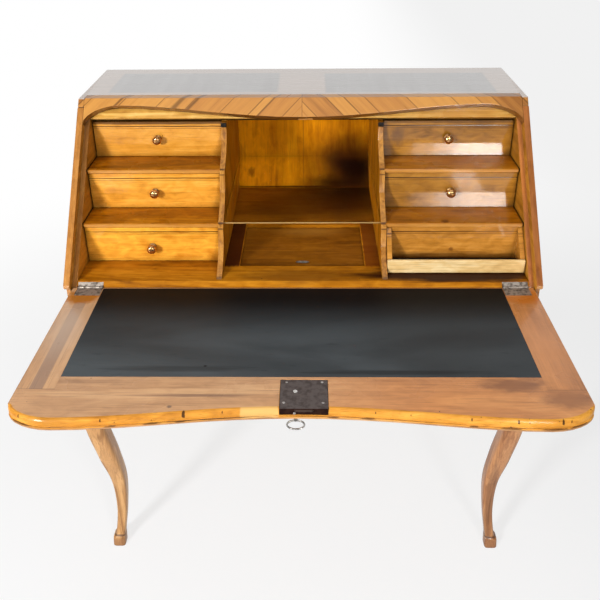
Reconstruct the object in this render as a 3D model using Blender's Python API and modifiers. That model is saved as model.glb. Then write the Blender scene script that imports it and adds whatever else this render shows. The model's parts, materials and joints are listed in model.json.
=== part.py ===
"""Slant-front writing desk (secretaire de pente) on cabriole legs, fall front lowered onto its lopers.

Metres, +Z up, the front looks along -Y. The pieces are set out from the middle of the width, the hinge line
of the fall front and the floor. At the end the desk is set down with the middle of its opened depth over
the origin.
"""
import math

import bmesh
import bpy
from mathutils import Matrix, Vector
from mathutils.geometry import interpolate_bezier

# Overall sizes
WIDTH = 0.940
HEIGHT = 1.043
WRITING_HEIGHT = 0.726
BACK_Y = 0.466
SLOPE = math.radians(50.8)

# Clearances
GAP = 0.0003
PLAY = 0.0006
WELD = 0.00001
EASED_EDGE = 0.0008

# Carcase boards
SIDE_THICK = 0.022
SIDE_LAND = 0.013
TOP_THICK = 0.016
TOP_ROUNDING = 0.002
BACK_THICK = 0.010
LOWER_INSET = 0.004
NOSE_HEIGHT = 0.006
HOUSING = 0.003

# Fall front
LID_THICK = 0.018
LIP_THICK = 0.005
LIP_PROUD = 0.003
BAND_WIDTH = 0.044
LID_DIP = 0.027
CREST_INSET = 0.074
CORNER_DROP = 0.040
SWEEP_FROM = 0.40
SWEEP_TO = 0.68
CORNER_FULLNESS = 0.5
STOP_THICK = 0.014
STOP_LAP = 0.021
LEATHER_THICK = 0.0013
LEATHER_SIDE_MARGIN = 0.063
LEATHER_FRONT_MARGIN = 0.078
LEATHER_REAR_MARGIN = 0.004

# Hinges of the fall front
HINGE_MARGIN = 0.0025
HINGE_LENGTH = 0.050
HINGE_LID_LEAF = 0.028
HINGE_CASE_LEAF = 0.0105
LEAF_THICK = 0.002
KNUCKLE_RADIUS = 0.003
PIN_RADIUS = 0.0013

# Lock and key
LOCK_X = 0.007
LOCK_WIDTH = 0.076
LOCK_DEPTH = 0.068
LOCK_PLATE = 0.002
LOCK_BODY_HEIGHT = 0.0115
LOCK_WALL = 0.002
LOCK_BODY_INSET = 0.008
BOLT_WIDTH = 0.029
BOLT_LENGTH = 0.030
BOLT_THICK = 0.004
BOLT_THROW = 0.009
KEY_OFFSET = -0.014
KEY_SETBACK = 0.040
KEY_RADIUS = 0.003
KEY_BORE = 0.0017
KEY_PIN_RADIUS = 0.0013
KEY_LENGTH = 0.060
BIT_REACH = 0.010
BIT_HEIGHT = 0.004
BIT_THICK = 0.0024
BOW_WIDTH = 0.032
BOW_HEIGHT = 0.022
BOW_WIRE = 0.0016
BOW_POINTS = 20

# Writing floor and the well under it
FLOOR_RISE = 0.0095
FLOOR_THICK = 0.014
WELL_OPENING = 0.258
WELL_FRONT_Y = 0.067
WELL_REAR_Y = 0.250
WELL_LID_THICK = 0.007
WELL_LID_LAP = 0.008
WELL_WALL = 0.014
FINGER_PULL_LENGTH = 0.028
FINGER_PULL_WIDTH = 0.010
FINGER_PULL_DEPTH = 0.004
FINGER_PULL_SETBACK = 0.028

# Inner fittings
CENTRE_WIDTH = 0.320
PARTITION_THICK = 0.011
PARTITION_SETBACK = 0.005
SCALLOP = 0.55
SHELF_THICK = 0.009
SHELF_NOSE = 0.004
SHELF_ROUNDING = 0.002
DRAWER_SETBACK = 0.0155
GLASS_THICK = 0.004
GLASS_SETBACK = 0.008

# Small drawers
DRAWER_FRONT_THICK = 0.010
DRAWER_WALL = 0.006
DRAWER_HEADROOM = 0.004
DRAWER_LINE_DROP = 0.010
DRAWER_LINE = 0.0012
KNOB_RADIUS = 0.0095
KNOB_LENGTH = 0.020
KNOB_HEAD = 0.013
KNOB_FOOT = 0.0075
KNOB_FOOT_HEIGHT = 0.002
KNOB_NECK = 0.0045
KNOB_RINGS = 5
KNOB_SIDES = 14
KNOB_RISE = (0.50, 0.545, 0.60)
TRAY_SETBACK = 0.005
TRAY_RAIL_THICK = 0.008
TRAY_RAIL_HEIGHT = 0.029
TRAY_WALL = 0.010

# Lower case
POST = 0.046
RAIL_THICK = 0.020
LOPER_WIDTH = 0.020
LOPER_HEIGHT = 0.034
LOPER_LENGTH = 0.400
LOPER_TRAVEL = 0.260
GUIDE_THICK = 0.010
FRIEZE_DRAWER_HEIGHT = 0.088
FRIEZE_BOTTOM_THICK = 0.010
FRIEZE_WALL = 0.008
APRON_DROP = 0.050
APRON_ARCH = 0.024
APRON_CREST = 0.55
SIDE_ARCH = 0.022

# Cabriole legs: share of the leg's height, outward lean of the centre line and half width at each turn
LEG_TURNS = (
    (0.000, 0.0030, 0.0147),
    (0.036, 0.0030, 0.0142),
    (0.046, 0.0000, 0.0110),
    (0.173, -0.0092, 0.0117),
    (0.326, -0.0114, 0.0160),
    (0.476, -0.0006, 0.0203),
    (0.705, 0.0142, 0.0209),
    (1.000, 0.0000, POST / 2),
)
LEG_STEPS = 3
LEG_SIDES = 16
LEG_SQUARENESS = 5.0
TOE_HEIGHT = 0.021
TOE_REACH = 0.006

# Colours
WALNUT = (0.42, 0.20, 0.055)
WALNUT_BAND = (0.45, 0.23, 0.07)
WALNUT_INSIDE = (0.46, 0.22, 0.045)
LEG_WALNUT = (0.44, 0.24, 0.09)
PINE = (0.62, 0.40, 0.14)
LEATHER = (0.012, 0.013, 0.016)
IRON = (0.09, 0.075, 0.065)
STEEL = (0.42, 0.41, 0.39)
BRASS = (0.62, 0.42, 0.16)
GLASS = (0.70, 0.78, 0.70)

# Roughness of the finishes
POLISHED = 0.2
WAXED = 0.3
WORN = 0.45
BARE = 0.6
CLEAR = 0.05

# How a flat outline is turned: its own X and Y lie along the two axes named
LYING = (0.0, 0.0, 0.0)
FACING_SIDE = (math.pi / 2, 0.0, math.pi / 2)
FACING_FRONT = (math.pi / 2, 0.0, 0.0)
ON_SLOPE = (SLOPE, 0.0, 0.0)

# Places that follow from the sizes above
HALF_WIDTH = WIDTH / 2
SIDE_IN = HALF_WIDTH - SIDE_THICK
LAND_IN = HALF_WIDTH - SIDE_LAND
LID_HALF = LAND_IN - PLAY
HINGE_X = SIDE_IN - HINGE_MARGIN - HINGE_LENGTH / 2
FOOT_Y = -LID_THICK * math.sin(SLOPE)
FOOT_Z = WRITING_HEIGHT + LID_THICK * math.cos(SLOPE)
FRONT_Y = FOOT_Y + LOWER_INSET
SLOPE_LENGTH = (HEIGHT - FOOT_Z) / math.sin(SLOPE)
LID_CENTRE = SLOPE_LENGTH - BAND_WIDTH
LID_CREST = LID_CENTRE + LID_DIP
TOP_UNDER = HEIGHT - TOP_THICK
INNER_BACK = BACK_Y - BACK_THICK - GAP
LID_UNDER = WRITING_HEIGHT - LID_THICK
POST_TOP = LID_UNDER - PLAY
POST_IN = HALF_WIDTH - LOWER_INSET - POST
FLOOR_TOP = WRITING_HEIGHT + FLOOR_RISE
FLOOR_UNDER = FLOOR_TOP - FLOOR_THICK
CENTRE_HALF = CENTRE_WIDTH / 2
PARTITION_OUT = CENTRE_HALF + PARTITION_THICK
STOP_DEPTH = LID_THICK + PLAY
STOP_S = LID_CREST - STOP_LAP


def slope_y(height, depth):
    """Y of the plane that lies this deep behind the face of the slope, at this height."""
    return FOOT_Y + (height - FOOT_Z) / math.tan(SLOPE) + depth / math.sin(SLOPE)


def on_slope(up, depth):
    """(Y, Z) of a point this far up the slope from the hinge line and this deep behind its face."""
    y = FOOT_Y + up * math.cos(SLOPE) + depth * math.sin(SLOPE)
    z = FOOT_Z + up * math.sin(SLOPE) - depth * math.cos(SLOPE)
    return y, z


# Three equal tiers of drawers fill the height from the writing floor to the lid stop
TIER_NAMES = ("bottom", "middle", "top")
SHELF_NAMES = ("lower", "upper")
TIERS_TOP = on_slope(STOP_S, STOP_DEPTH + STOP_THICK)[1] - PLAY
TIER_HEIGHT = (TIERS_TOP - FLOOR_TOP - 2 * SHELF_THICK) / 3
TIER_FLOOR = [FLOOR_TOP + n * (TIER_HEIGHT + SHELF_THICK) for n in range(3)]
TIER_FACE = [slope_y(floor + TIER_HEIGHT, LID_THICK) + DRAWER_SETBACK for floor in TIER_FLOOR]

LOPER_TOP = LID_UNDER - GAP
LOPER_BOTTOM = LOPER_TOP - LOPER_HEIGHT
LOPER_OUT = POST_IN - GAP
LOPER_IN = LOPER_OUT - LOPER_WIDTH
GUIDE_OUT = LOPER_IN - GAP
GUIDE_IN = GUIDE_OUT - GUIDE_THICK
FRIEZE_FLOOR = LOPER_BOTTOM - FRIEZE_DRAWER_HEIGHT
CASE_UNDER = FRIEZE_FLOOR - FRIEZE_BOTTOM_THICK
WELL_HALF = WELL_OPENING / 2 + WELL_WALL

for leftover in list(bpy.data.objects):
    bpy.data.objects.remove(leftover)

desk = bpy.data.collections.new("secretaire")
cutters = bpy.data.collections.new("cutters")
bpy.context.scene.collection.children.link(desk)
bpy.context.scene.collection.children.link(cutters)


def finish(piece, colour, roughness, metallic=0.0):
    """Give a piece its own plain material and put it in the desk's collection."""
    material = bpy.data.materials.new(piece.name)
    material.use_nodes = True
    shader = material.node_tree.nodes["Principled BSDF"]
    shader.inputs["Base Color"].default_value = (*colour, 1.0)
    shader.inputs["Roughness"].default_value = roughness
    shader.inputs["Metallic"].default_value = metallic
    material.diffuse_color = (*colour, 1.0)
    piece.data.materials.clear()
    piece.data.materials.append(material)
    desk.objects.link(piece)
    return piece


def as_cutter(tool):
    """Keep a cutting solid in the file, out of renders."""
    tool.hide_render = True
    tool.display_type = 'WIRE'
    cutters.objects.link(tool)
    return tool


def cut(piece, *tools):
    for tool in tools:
        step = piece.modifiers.new("cut", 'BOOLEAN')
        step.operation = 'DIFFERENCE'
        step.solver = 'EXACT'
        step.object = tool
    return piece


def fuse(piece, *tools):
    for tool in tools:
        step = piece.modifiers.new("fuse", 'BOOLEAN')
        step.operation = 'UNION'
        step.solver = 'EXACT'
        step.object = tool
    return piece


def ease(piece, width, segments=1):
    """Take the sharpness off a piece's edges."""
    step = piece.modifiers.new("eased edges", 'BEVEL')
    step.width = width
    step.segments = segments
    step.limit_method = 'ANGLE'
    step.angle_limit = math.radians(40)
    return piece


def block(name, x, y, z):
    """A box between the given pairs of limits, with its origin in its middle."""
    size = Vector((x[1] - x[0], y[1] - y[0], z[1] - z[0]))
    mesh = bpy.data.meshes.new(name)
    shape = bmesh.new()
    bmesh.ops.create_cube(shape, size=1.0, matrix=Matrix.Diagonal((*size, 1.0)))
    shape.to_mesh(mesh)
    shape.free()
    piece = bpy.data.objects.new(name, mesh)
    piece.location = ((x[0] + x[1]) / 2, (y[0] + y[1]) / 2, (z[0] + z[1]) / 2)
    return piece


def board(name, x, y, z, colour, roughness=WAXED, eased=EASED_EDGE):
    """A plain planed board."""
    return finish(ease(block(name, x, y, z), eased), colour, roughness)


def plank(name, outline, thickness, location, rotation):
    """A flat outline cut from wood: a filled curve with half the thickness to either side."""
    curve = bpy.data.curves.new(name, 'CURVE')
    curve.dimensions = '2D'
    curve.fill_mode = 'BOTH'
    curve.extrude = thickness / 2
    spline = curve.splines.new('POLY')
    spline.points.add(len(outline) - 1)
    for point, (a, b) in zip(spline.points, outline):
        point.co = (a, b, 0.0, 1.0)
    spline.use_cyclic_u = True
    drawn = bpy.data.objects.new(name, curve)
    bpy.context.scene.collection.objects.link(drawn)
    mesh = bpy.data.meshes.new_from_object(drawn.evaluated_get(bpy.context.evaluated_depsgraph_get()))
    bpy.data.objects.remove(drawn)
    mesh.name = name
    shape = bmesh.new()
    shape.from_mesh(mesh)
    bmesh.ops.remove_doubles(shape, verts=shape.verts, dist=WELD)
    for face_side in (-1, 1):
        flat = [f for f in shape.faces if all(v.co.z * face_side > 0 for v in f.verts)]
        bmesh.ops.dissolve_faces(shape, faces=flat)
    bmesh.ops.recalc_face_normals(shape, faces=shape.faces)
    shape.to_mesh(mesh)
    shape.free()
    piece = bpy.data.objects.new(name, mesh)
    piece.location = location
    piece.rotation_euler = rotation
    return piece


def rod(name, radius, start, end, sides=16):
    """A round bar between two points."""
    start = Vector(start)
    end = Vector(end)
    mesh = bpy.data.meshes.new(name)
    shape = bmesh.new()
    bmesh.ops.create_cone(shape, cap_ends=True, segments=sides, radius1=radius, radius2=radius,
                          depth=(end - start).length)
    shape.to_mesh(mesh)
    shape.free()
    piece = bpy.data.objects.new(name, mesh)
    piece.location = (start + end) / 2
    piece.rotation_euler = (end - start).to_track_quat('Z', 'Y').to_euler()
    return piece


def bend(start, start_handle, end_handle, end, points):
    """Points along one smooth bend in a flat outline."""
    knots = [Vector((*p, 0.0)) for p in (start, start_handle, end_handle, end)]
    return [(p.x, p.y) for p in interpolate_bezier(*knots, points)]


def scroll(start, end):
    """An S-shaped line that sets out and arrives level."""
    halfway = (start[0] + end[0]) / 2
    return bend(start, (halfway, start[1]), (halfway, end[1]), end, 7)


def free_edge(half, shift):
    """The serpentine line between the fall front and the slope rail, left to right, as (X, up the slope)."""
    low = LID_CENTRE + shift
    high = LID_CREST + shift
    crest = half - CREST_INSET
    foot = high - CORNER_DROP
    sweep = bend((0.0, low), (crest * SWEEP_FROM, low), (crest * SWEEP_TO, high), (crest, high), 10)
    corner = bend((crest, high), (crest + CREST_INSET * CORNER_FULLNESS, high),
                  (half, foot + CORNER_DROP * CORNER_FULLNESS), (half, foot), 8)
    right = sweep + corner[1:]
    return [(-x, up) for x, up in reversed(right[1:])] + right


def joint(name, location):
    """An empty on a joint's axis, for the pieces that move together."""
    axis = bpy.data.objects.new(name, None)
    axis.location = location
    axis.empty_display_size = 0.02
    desk.objects.link(axis)
    return axis


def carry(axis, *pieces):
    """Hang pieces on a joint's empty without moving them."""
    for piece in pieces:
        piece.parent = axis
        piece.matrix_parent_inverse = Matrix.Translation(axis.location).inverted()


# The room that the lid and slope rail need in the sides and the top
fall_opening = as_cutter(plank("fall_opening", [
    (PLAY, LID_UNDER - PLAY),
    (PLAY, WRITING_HEIGHT),
    (slope_y(2 * HEIGHT, STOP_DEPTH), 2 * HEIGHT),
    (slope_y(2 * HEIGHT, -HEIGHT), 2 * HEIGHT),
    (FOOT_Y - HEIGHT, LID_UNDER - PLAY),
], 2 * (LAND_IN + GAP), (0.0, 0.0, 0.0), FACING_SIDE))

# Side panels with the slanted front, the rebate for the lid and the notches for the leg posts
front_notch = FRONT_Y + POST + GAP
rear_notch = BACK_Y - LOWER_INSET - POST - GAP
side_arch = bend((rear_notch, CASE_UNDER), (rear_notch - POST, CASE_UNDER + SIDE_ARCH),
                 (front_notch + POST, CASE_UNDER + SIDE_ARCH), (front_notch, CASE_UNDER), 9)
side_outline = [
    (FOOT_Y, FOOT_Z),
    (slope_y(TOP_UNDER - GAP, 0.0), TOP_UNDER - GAP),
    (BACK_Y, TOP_UNDER - GAP),
    (BACK_Y, POST_TOP + GAP),
    (rear_notch, POST_TOP + GAP),
    *side_arch,
    (front_notch, POST_TOP + GAP),
    (FRONT_Y, POST_TOP + GAP),
    (FRONT_Y, FOOT_Z - NOSE_HEIGHT - LOWER_INSET),
    (FOOT_Y, FOOT_Z - NOSE_HEIGHT),
]
side_panels = {}
for hand, way in (("left", -1), ("right", 1)):
    middle = way * (HALF_WIDTH - SIDE_THICK / 2)
    panel = plank("side_panel_" + hand, side_outline, SIDE_THICK, (middle, 0.0, 0.0), FACING_SIDE)
    step = sorted((way * (HALF_WIDTH - LOWER_INSET), way * (HALF_WIDTH + LOWER_INSET)))
    lower_step = block("lower_step_" + hand, step, (-HEIGHT, HEIGHT),
                       (0.0, FOOT_Z - NOSE_HEIGHT - LOWER_INSET))
    cut(panel, fall_opening, as_cutter(lower_step))
    side_panels[hand] = finish(panel, WALNUT, WAXED)

# Top board with rounded arrises, cut away for the slope rail
top_board = plank("top_board", [
    (slope_y(TOP_UNDER, 0.0), TOP_UNDER),
    (slope_y(HEIGHT, 0.0), HEIGHT),
    (BACK_Y, HEIGHT),
    (BACK_Y, TOP_UNDER),
], WIDTH, (0.0, 0.0, 0.0), FACING_SIDE)
cut(finish(ease(top_board, TOP_ROUNDING, 2), WALNUT, POLISHED), fall_opening)

# Back panel, narrower between the rear posts
back_panel = plank("back_panel", [
    (-SIDE_IN + GAP, TOP_UNDER - GAP),
    (SIDE_IN - GAP, TOP_UNDER - GAP),
    (SIDE_IN - GAP, POST_TOP + GAP),
    (POST_IN - GAP, POST_TOP + GAP),
    (POST_IN - GAP, CASE_UNDER),
    (-POST_IN + GAP, CASE_UNDER),
    (-POST_IN + GAP, POST_TOP + GAP),
    (-SIDE_IN + GAP, POST_TOP + GAP),
], BACK_THICK, (0.0, BACK_Y - BACK_THICK / 2, 0.0), FACING_FRONT)
finish(back_panel, WALNUT_INSIDE, WORN)

# Slope rail: the band above the lid, with the serpentine lower edge and a mortise for the lock bolt
slope_rail_top = SLOPE_LENGTH + LID_THICK
slope_rail = plank("slope_rail", [
    *free_edge(LAND_IN, PLAY),
    (LAND_IN, slope_rail_top),
    (-LAND_IN, slope_rail_top),
], LID_THICK, (0.0, *on_slope(0.0, LID_THICK / 2)), ON_SLOPE)
above_top = as_cutter(block("above_top", (-WIDTH, WIDTH), (-HEIGHT, HEIGHT), (HEIGHT, 2 * HEIGHT)))
bolt_depth = LID_THICK - LOCK_PLATE - PLAY - BOLT_THICK / 2
strike_y, strike_z = on_slope(LID_CENTRE, bolt_depth)
strike_half = BOLT_WIDTH / 2 + PLAY
strike_reach = BOLT_THROW + LIP_PROUD
bolt_mortise = block("bolt_mortise", (-strike_half, strike_half), (-strike_reach, strike_reach),
                     (-BOLT_THICK / 2 - PLAY, BOLT_THICK / 2 + PLAY))
bolt_mortise.location = (LOCK_X, strike_y, strike_z)
bolt_mortise.rotation_euler = ON_SLOPE
cut(finish(slope_rail, WALNUT_BAND, WAXED), above_top, as_cutter(bolt_mortise))

# Lid stop rail behind the band
stop_back = STOP_DEPTH + STOP_THICK
stop_rail = plank("lid_stop_rail", [
    on_slope(STOP_S, STOP_DEPTH),
    (slope_y(TOP_UNDER - GAP, STOP_DEPTH), TOP_UNDER - GAP),
    (slope_y(TOP_UNDER - GAP, stop_back), TOP_UNDER - GAP),
    on_slope(STOP_S, stop_back),
], 2 * (SIDE_IN - GAP), (0.0, 0.0, 0.0), FACING_SIDE)
finish(ease(stop_rail, EASED_EDGE), WALNUT_INSIDE, WAXED)

# Writing floor: bevelled front edge against the closed lid, an opening over the well, and a channel in its
# underside, open at the back, for the lid of the well
bevel_foot = slope_y(WRITING_HEIGHT, STOP_DEPTH)
desk_floor = plank("desk_floor", [
    (bevel_foot, FLOOR_UNDER),
    (bevel_foot, WRITING_HEIGHT),
    (slope_y(FLOOR_TOP, STOP_DEPTH), FLOOR_TOP),
    (INNER_BACK, FLOOR_TOP),
    (INNER_BACK, FLOOR_UNDER),
], 2 * (SIDE_IN - GAP), (0.0, 0.0, 0.0), FACING_SIDE)
well_hole = block("well_hole", (-WELL_OPENING / 2, WELL_OPENING / 2), (WELL_FRONT_Y, WELL_REAR_Y),
                  (FLOOR_UNDER - HOUSING, FLOOR_TOP + HOUSING))
well_lid_half = WELL_OPENING / 2 + WELL_LID_LAP
well_lid_y = (WELL_FRONT_Y - WELL_LID_LAP, WELL_REAR_Y + WELL_LID_LAP)
well_channel = block("well_channel", (-well_lid_half - PLAY, well_lid_half + PLAY),
                     (well_lid_y[0] - PLAY, INNER_BACK + HOUSING),
                     (FLOOR_UNDER - HOUSING, FLOOR_UNDER + WELL_LID_THICK + GAP))
cut(finish(desk_floor, WALNUT_INSIDE, WAXED), as_cutter(well_hole), as_cutter(well_channel))

# Sliding lid of the well, with a finger pull sunk near its front edge
well_lid = block("well_lid", (-well_lid_half, well_lid_half), well_lid_y,
                 (FLOOR_UNDER, FLOOR_UNDER + WELL_LID_THICK))
pull_y = WELL_FRONT_Y + FINGER_PULL_SETBACK
finger_pull = rod("finger_pull", FINGER_PULL_LENGTH / 2, (0.0, pull_y, FLOOR_TOP),
                  (0.0, pull_y, FLOOR_UNDER + WELL_LID_THICK - FINGER_PULL_DEPTH))
finger_pull.scale.y = FINGER_PULL_WIDTH / FINGER_PULL_LENGTH
cut(finish(well_lid, WALNUT_INSIDE, WAXED), as_cutter(finger_pull))
carry(joint("well_lid_slide", (0.0, well_lid_y[0], FLOOR_UNDER)), well_lid)

# Well box between the bottom board and the writing floor: its lid slides on the rims of its side walls
well_z = (FRIEZE_FLOOR + GAP, FLOOR_UNDER - GAP)
well_front = FRONT_Y + RAIL_THICK + GAP
well_box = block("well_box", (-WELL_HALF, WELL_HALF), (well_front, INNER_BACK), well_z)
well_room = block("well_room", (-WELL_HALF + WELL_WALL, WELL_HALF - WELL_WALL),
                  (well_front + WELL_WALL, INNER_BACK - WELL_WALL),
                  (well_z[0] + WELL_WALL, well_z[1] + WELL_WALL))
cut(finish(well_box, PINE, BARE), as_cutter(well_room))

# Shelves under the drawers, let into the sides and the partitions
shelf_grooves = {"left": [], "right": []}
for tier_below, level in enumerate(SHELF_NAMES):
    under = TIER_FLOOR[tier_below + 1] - SHELF_THICK
    shelf_y = (TIER_FACE[tier_below] - SHELF_NOSE, INNER_BACK)
    for hand, way in (("left", -1), ("right", 1)):
        ends = sorted((way * (PARTITION_OUT - HOUSING + GAP), way * (SIDE_IN + HOUSING - GAP)))
        board_name = level + "_shelf_" + hand
        board(board_name, ends, shelf_y, (under, under + SHELF_THICK), WALNUT_INSIDE, WAXED,
              SHELF_ROUNDING)
        groove = block(board_name + "_groove", (ends[0] - GAP, ends[1] + GAP),
                       (shelf_y[0] - GAP, shelf_y[1] + GAP), (under - GAP, under + SHELF_THICK + GAP))
        shelf_grooves[hand].append(as_cutter(groove))

# Glass shelf across the middle, in grooves of the partitions
glass_top = TIER_FLOOR[1]
glass_half = CENTRE_HALF + HOUSING - GAP
glass_y = (TIER_FACE[0] - SHELF_NOSE + GLASS_SETBACK, INNER_BACK)
glass_z = (glass_top - GLASS_THICK, glass_top)
board("glass_shelf", (-glass_half, glass_half), glass_y, glass_z, GLASS, CLEAR)
glass_groove = as_cutter(block("glass_groove", (-glass_half - GAP, glass_half + GAP),
                               (glass_y[0] - GAP, glass_y[1] + GAP), (glass_z[0] - GAP, glass_z[1] + GAP)))


def partition_edge():
    """The scalloped front edge of a partition, from the writing floor up to the lid stop, as (Y, Z)."""
    edge = []
    for tier, floor in enumerate(TIER_FLOOR):
        low_z = floor + GAP if tier == 0 else floor
        high_z = floor + TIER_HEIGHT
        low = (slope_y(low_z, LID_THICK) + PARTITION_SETBACK, low_z)
        high = (slope_y(high_z, LID_THICK) + PARTITION_SETBACK, high_z)
        low_handle = (low[0] + (high[0] - low[0]) * SCALLOP, low_z + TIER_HEIGHT * (1 - SCALLOP) / 2)
        high_handle = (high[0], high_z - TIER_HEIGHT * SCALLOP)
        edge += bend(low, low_handle, high_handle, high, 7)
    return edge


# Partitions either side of the middle, cut back behind the lid stop
partition_outline = [
    *partition_edge(),
    (slope_y(TIERS_TOP, stop_back + GAP), TIERS_TOP),
    (slope_y(TOP_UNDER - GAP, stop_back + GAP), TOP_UNDER - GAP),
    (INNER_BACK, TOP_UNDER - GAP),
    (INNER_BACK, FLOOR_TOP + GAP),
]
for hand, way in (("left", -1), ("right", 1)):
    partition = plank("partition_" + hand, partition_outline, PARTITION_THICK,
                      (way * (CENTRE_HALF + PARTITION_THICK / 2), 0.0, 0.0), FACING_SIDE)
    cut(finish(partition, WALNUT_INSIDE, WAXED), glass_groove, *shelf_grooves[hand])
    cut(side_panels[hand], *shelf_grooves[hand])


def knob(name, x, face_y, z):
    """A turned brass knob, its stem standing on the face behind it."""
    quarter = math.pi / 2
    neck_angle = -math.acos(KNOB_NECK / KNOB_RADIUS)
    head_middle = KNOB_LENGTH - KNOB_HEAD / 2
    profile = [(0.0, 0.0), (KNOB_FOOT, 0.0), (KNOB_FOOT, KNOB_FOOT_HEIGHT), (KNOB_NECK, 2 * KNOB_FOOT_HEIGHT)]
    for ring in range(KNOB_RINGS):
        angle = neck_angle + (quarter - neck_angle) * ring / KNOB_RINGS
        profile.append((KNOB_RADIUS * math.cos(angle), head_middle + KNOB_HEAD / 2 * math.sin(angle)))
    profile.append((0.0, KNOB_LENGTH))
    mesh = bpy.data.meshes.new(name)
    shape = bmesh.new()
    corners = [shape.verts.new((radius, 0.0, height)) for radius, height in profile]
    for a, b in zip(corners, corners[1:]):
        shape.edges.new((a, b))
    shape.to_mesh(mesh)
    shape.free()
    piece = bpy.data.objects.new(name, mesh)
    piece.location = (x, face_y - GAP, z)
    piece.rotation_euler = (quarter, 0.0, 0.0)
    lathe = piece.modifiers.new("lathe", 'SCREW')
    lathe.steps = KNOB_SIDES
    lathe.render_steps = KNOB_SIDES
    lathe.use_merge_vertices = True
    lathe.merge_threshold = WELD
    lathe.use_normal_calculate = True
    return finish(piece, BRASS, POLISHED, 1.0)


def drawer_box(name, x, y, z, wall, colour):
    """An open box behind a drawer front."""
    box = block(name, x, y, z)
    room = block(name + "_room", (x[0] + wall, x[1] - wall), (y[0] + wall, y[1] - wall),
                 (z[0] + wall, z[1] + wall))
    return cut(finish(box, colour, BARE), as_cutter(room))


# Small drawers: two stacks of three, with a tray drawer at the bottom right
for hand, way in (("left", -1), ("right", 1)):
    ends = sorted((way * (PARTITION_OUT + PLAY), way * (SIDE_IN - PLAY)))
    middle = (ends[0] + ends[1]) / 2
    for tier, tier_name in enumerate(TIER_NAMES):
        if hand == "right" and tier == 0:
            continue
        name = tier_name + "_drawer_" + hand
        face = TIER_FACE[tier]
        bottom = TIER_FLOOR[tier] + GAP
        top = TIER_FLOOR[tier] + TIER_HEIGHT - PLAY
        front = board(name + "_front", ends, (face, face + DRAWER_FRONT_THICK), (bottom, top), WALNUT_INSIDE)
        line_z = top - DRAWER_LINE_DROP
        line = block(name + "_line", (ends[0] - PLAY, ends[1] + PLAY),
                     (face - DRAWER_LINE, face + DRAWER_LINE), (line_z - DRAWER_LINE, line_z))
        cut(front, as_cutter(line))
        box = drawer_box(name + "_box", ends, (face + DRAWER_FRONT_THICK + GAP, INNER_BACK - PLAY),
                         (bottom, top - DRAWER_HEADROOM), DRAWER_WALL, PINE)
        pull = knob(name + "_knob", middle, face, bottom + (line_z - bottom) * KNOB_RISE[tier])
        carry(joint(name + "_slide", (middle, face, bottom)), front, box, pull)

# Tray drawer: an open pen trough behind a low rail, and a tall wall level with the other drawer fronts
tray_x = (PARTITION_OUT + PLAY, SIDE_IN - PLAY)
tray_bottom = TIER_FLOOR[0] + GAP
tray_top = TIER_FLOOR[0] + TIER_HEIGHT - PLAY
tray_face = TIER_FACE[0]
rail_top = tray_bottom + TRAY_RAIL_HEIGHT
rail_front = slope_y(rail_top, LID_THICK) + TRAY_SETBACK
trough_front = rail_front + TRAY_RAIL_THICK + GAP
tray_box = plank("tray_drawer_box", [
    (trough_front, tray_bottom),
    (trough_front, rail_top),
    (tray_face - PLAY, tray_top),
    (INNER_BACK - PLAY, tray_top),
    (INNER_BACK - PLAY, tray_bottom),
], tray_x[1] - tray_x[0], ((tray_x[0] + tray_x[1]) / 2, 0.0, 0.0), FACING_SIDE)
trough = block("tray_trough", (tray_x[0] + TRAY_WALL, tray_x[1] - TRAY_WALL),
               (trough_front - PLAY, tray_face), (tray_bottom + DRAWER_WALL, tray_top + DRAWER_WALL))
tray_room = block("tray_room", (tray_x[0] + DRAWER_WALL, tray_x[1] - DRAWER_WALL),
                  (tray_face + DRAWER_FRONT_THICK, INNER_BACK - PLAY - DRAWER_WALL),
                  (tray_bottom + DRAWER_WALL, tray_top + DRAWER_WALL))
cut(finish(tray_box, WALNUT_INSIDE, WAXED), as_cutter(trough), as_cutter(tray_room))
tray_rail = board("tray_drawer_rail", tray_x, (rail_front, rail_front + TRAY_RAIL_THICK),
                  (tray_bottom, rail_top), PINE, WORN, SHELF_ROUNDING)
carry(joint("tray_drawer_slide", ((tray_x[0] + tray_x[1]) / 2, rail_front, tray_bottom)), tray_box, tray_rail)

# Front rail under the lid, stepped so that the lid's hinge edge can swing past it
rail_y = (FRONT_Y, FRONT_Y + RAIL_THICK)
front_rail = plank("front_rail", [
    (rail_y[0], LOPER_BOTTOM),
    (rail_y[0], LID_UNDER - PLAY),
    (bevel_foot, LID_UNDER - PLAY),
    (bevel_foot, FLOOR_UNDER - GAP),
    (rail_y[1], FLOOR_UNDER - GAP),
    (rail_y[1], LOPER_BOTTOM),
], 2 * GUIDE_OUT, (0.0, 0.0, 0.0), FACING_SIDE)
finish(front_rail, WALNUT, WAXED)

# Apron with its scrolled lower edge, rising in the middle to cover the front of the well
apron_foot = FRIEZE_FLOOR - APRON_DROP
apron_reach = POST_IN - GAP
apron_crest = apron_reach * APRON_CREST
apron_side = scroll((apron_reach, apron_foot), (apron_crest, apron_foot + APRON_ARCH))
apron_drop = scroll((apron_crest, apron_foot + APRON_ARCH), (0.0, apron_foot))
apron_right = apron_side + apron_drop[1:]
apron_left = [(-x, z) for x, z in reversed(apron_right[:-1])]
apron_front = plank("apron_front", [
    *apron_right,
    *apron_left,
    (-apron_reach, FRIEZE_FLOOR),
    (-WELL_HALF, FRIEZE_FLOOR),
    (-WELL_HALF, LOPER_BOTTOM - GAP),
    (WELL_HALF, LOPER_BOTTOM - GAP),
    (WELL_HALF, FRIEZE_FLOOR),
    (apron_reach, FRIEZE_FLOOR),
], RAIL_THICK - GAP, (0.0, FRONT_Y + (RAIL_THICK - GAP) / 2, 0.0), FACING_FRONT)
finish(apron_front, WALNUT, WAXED)

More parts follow.
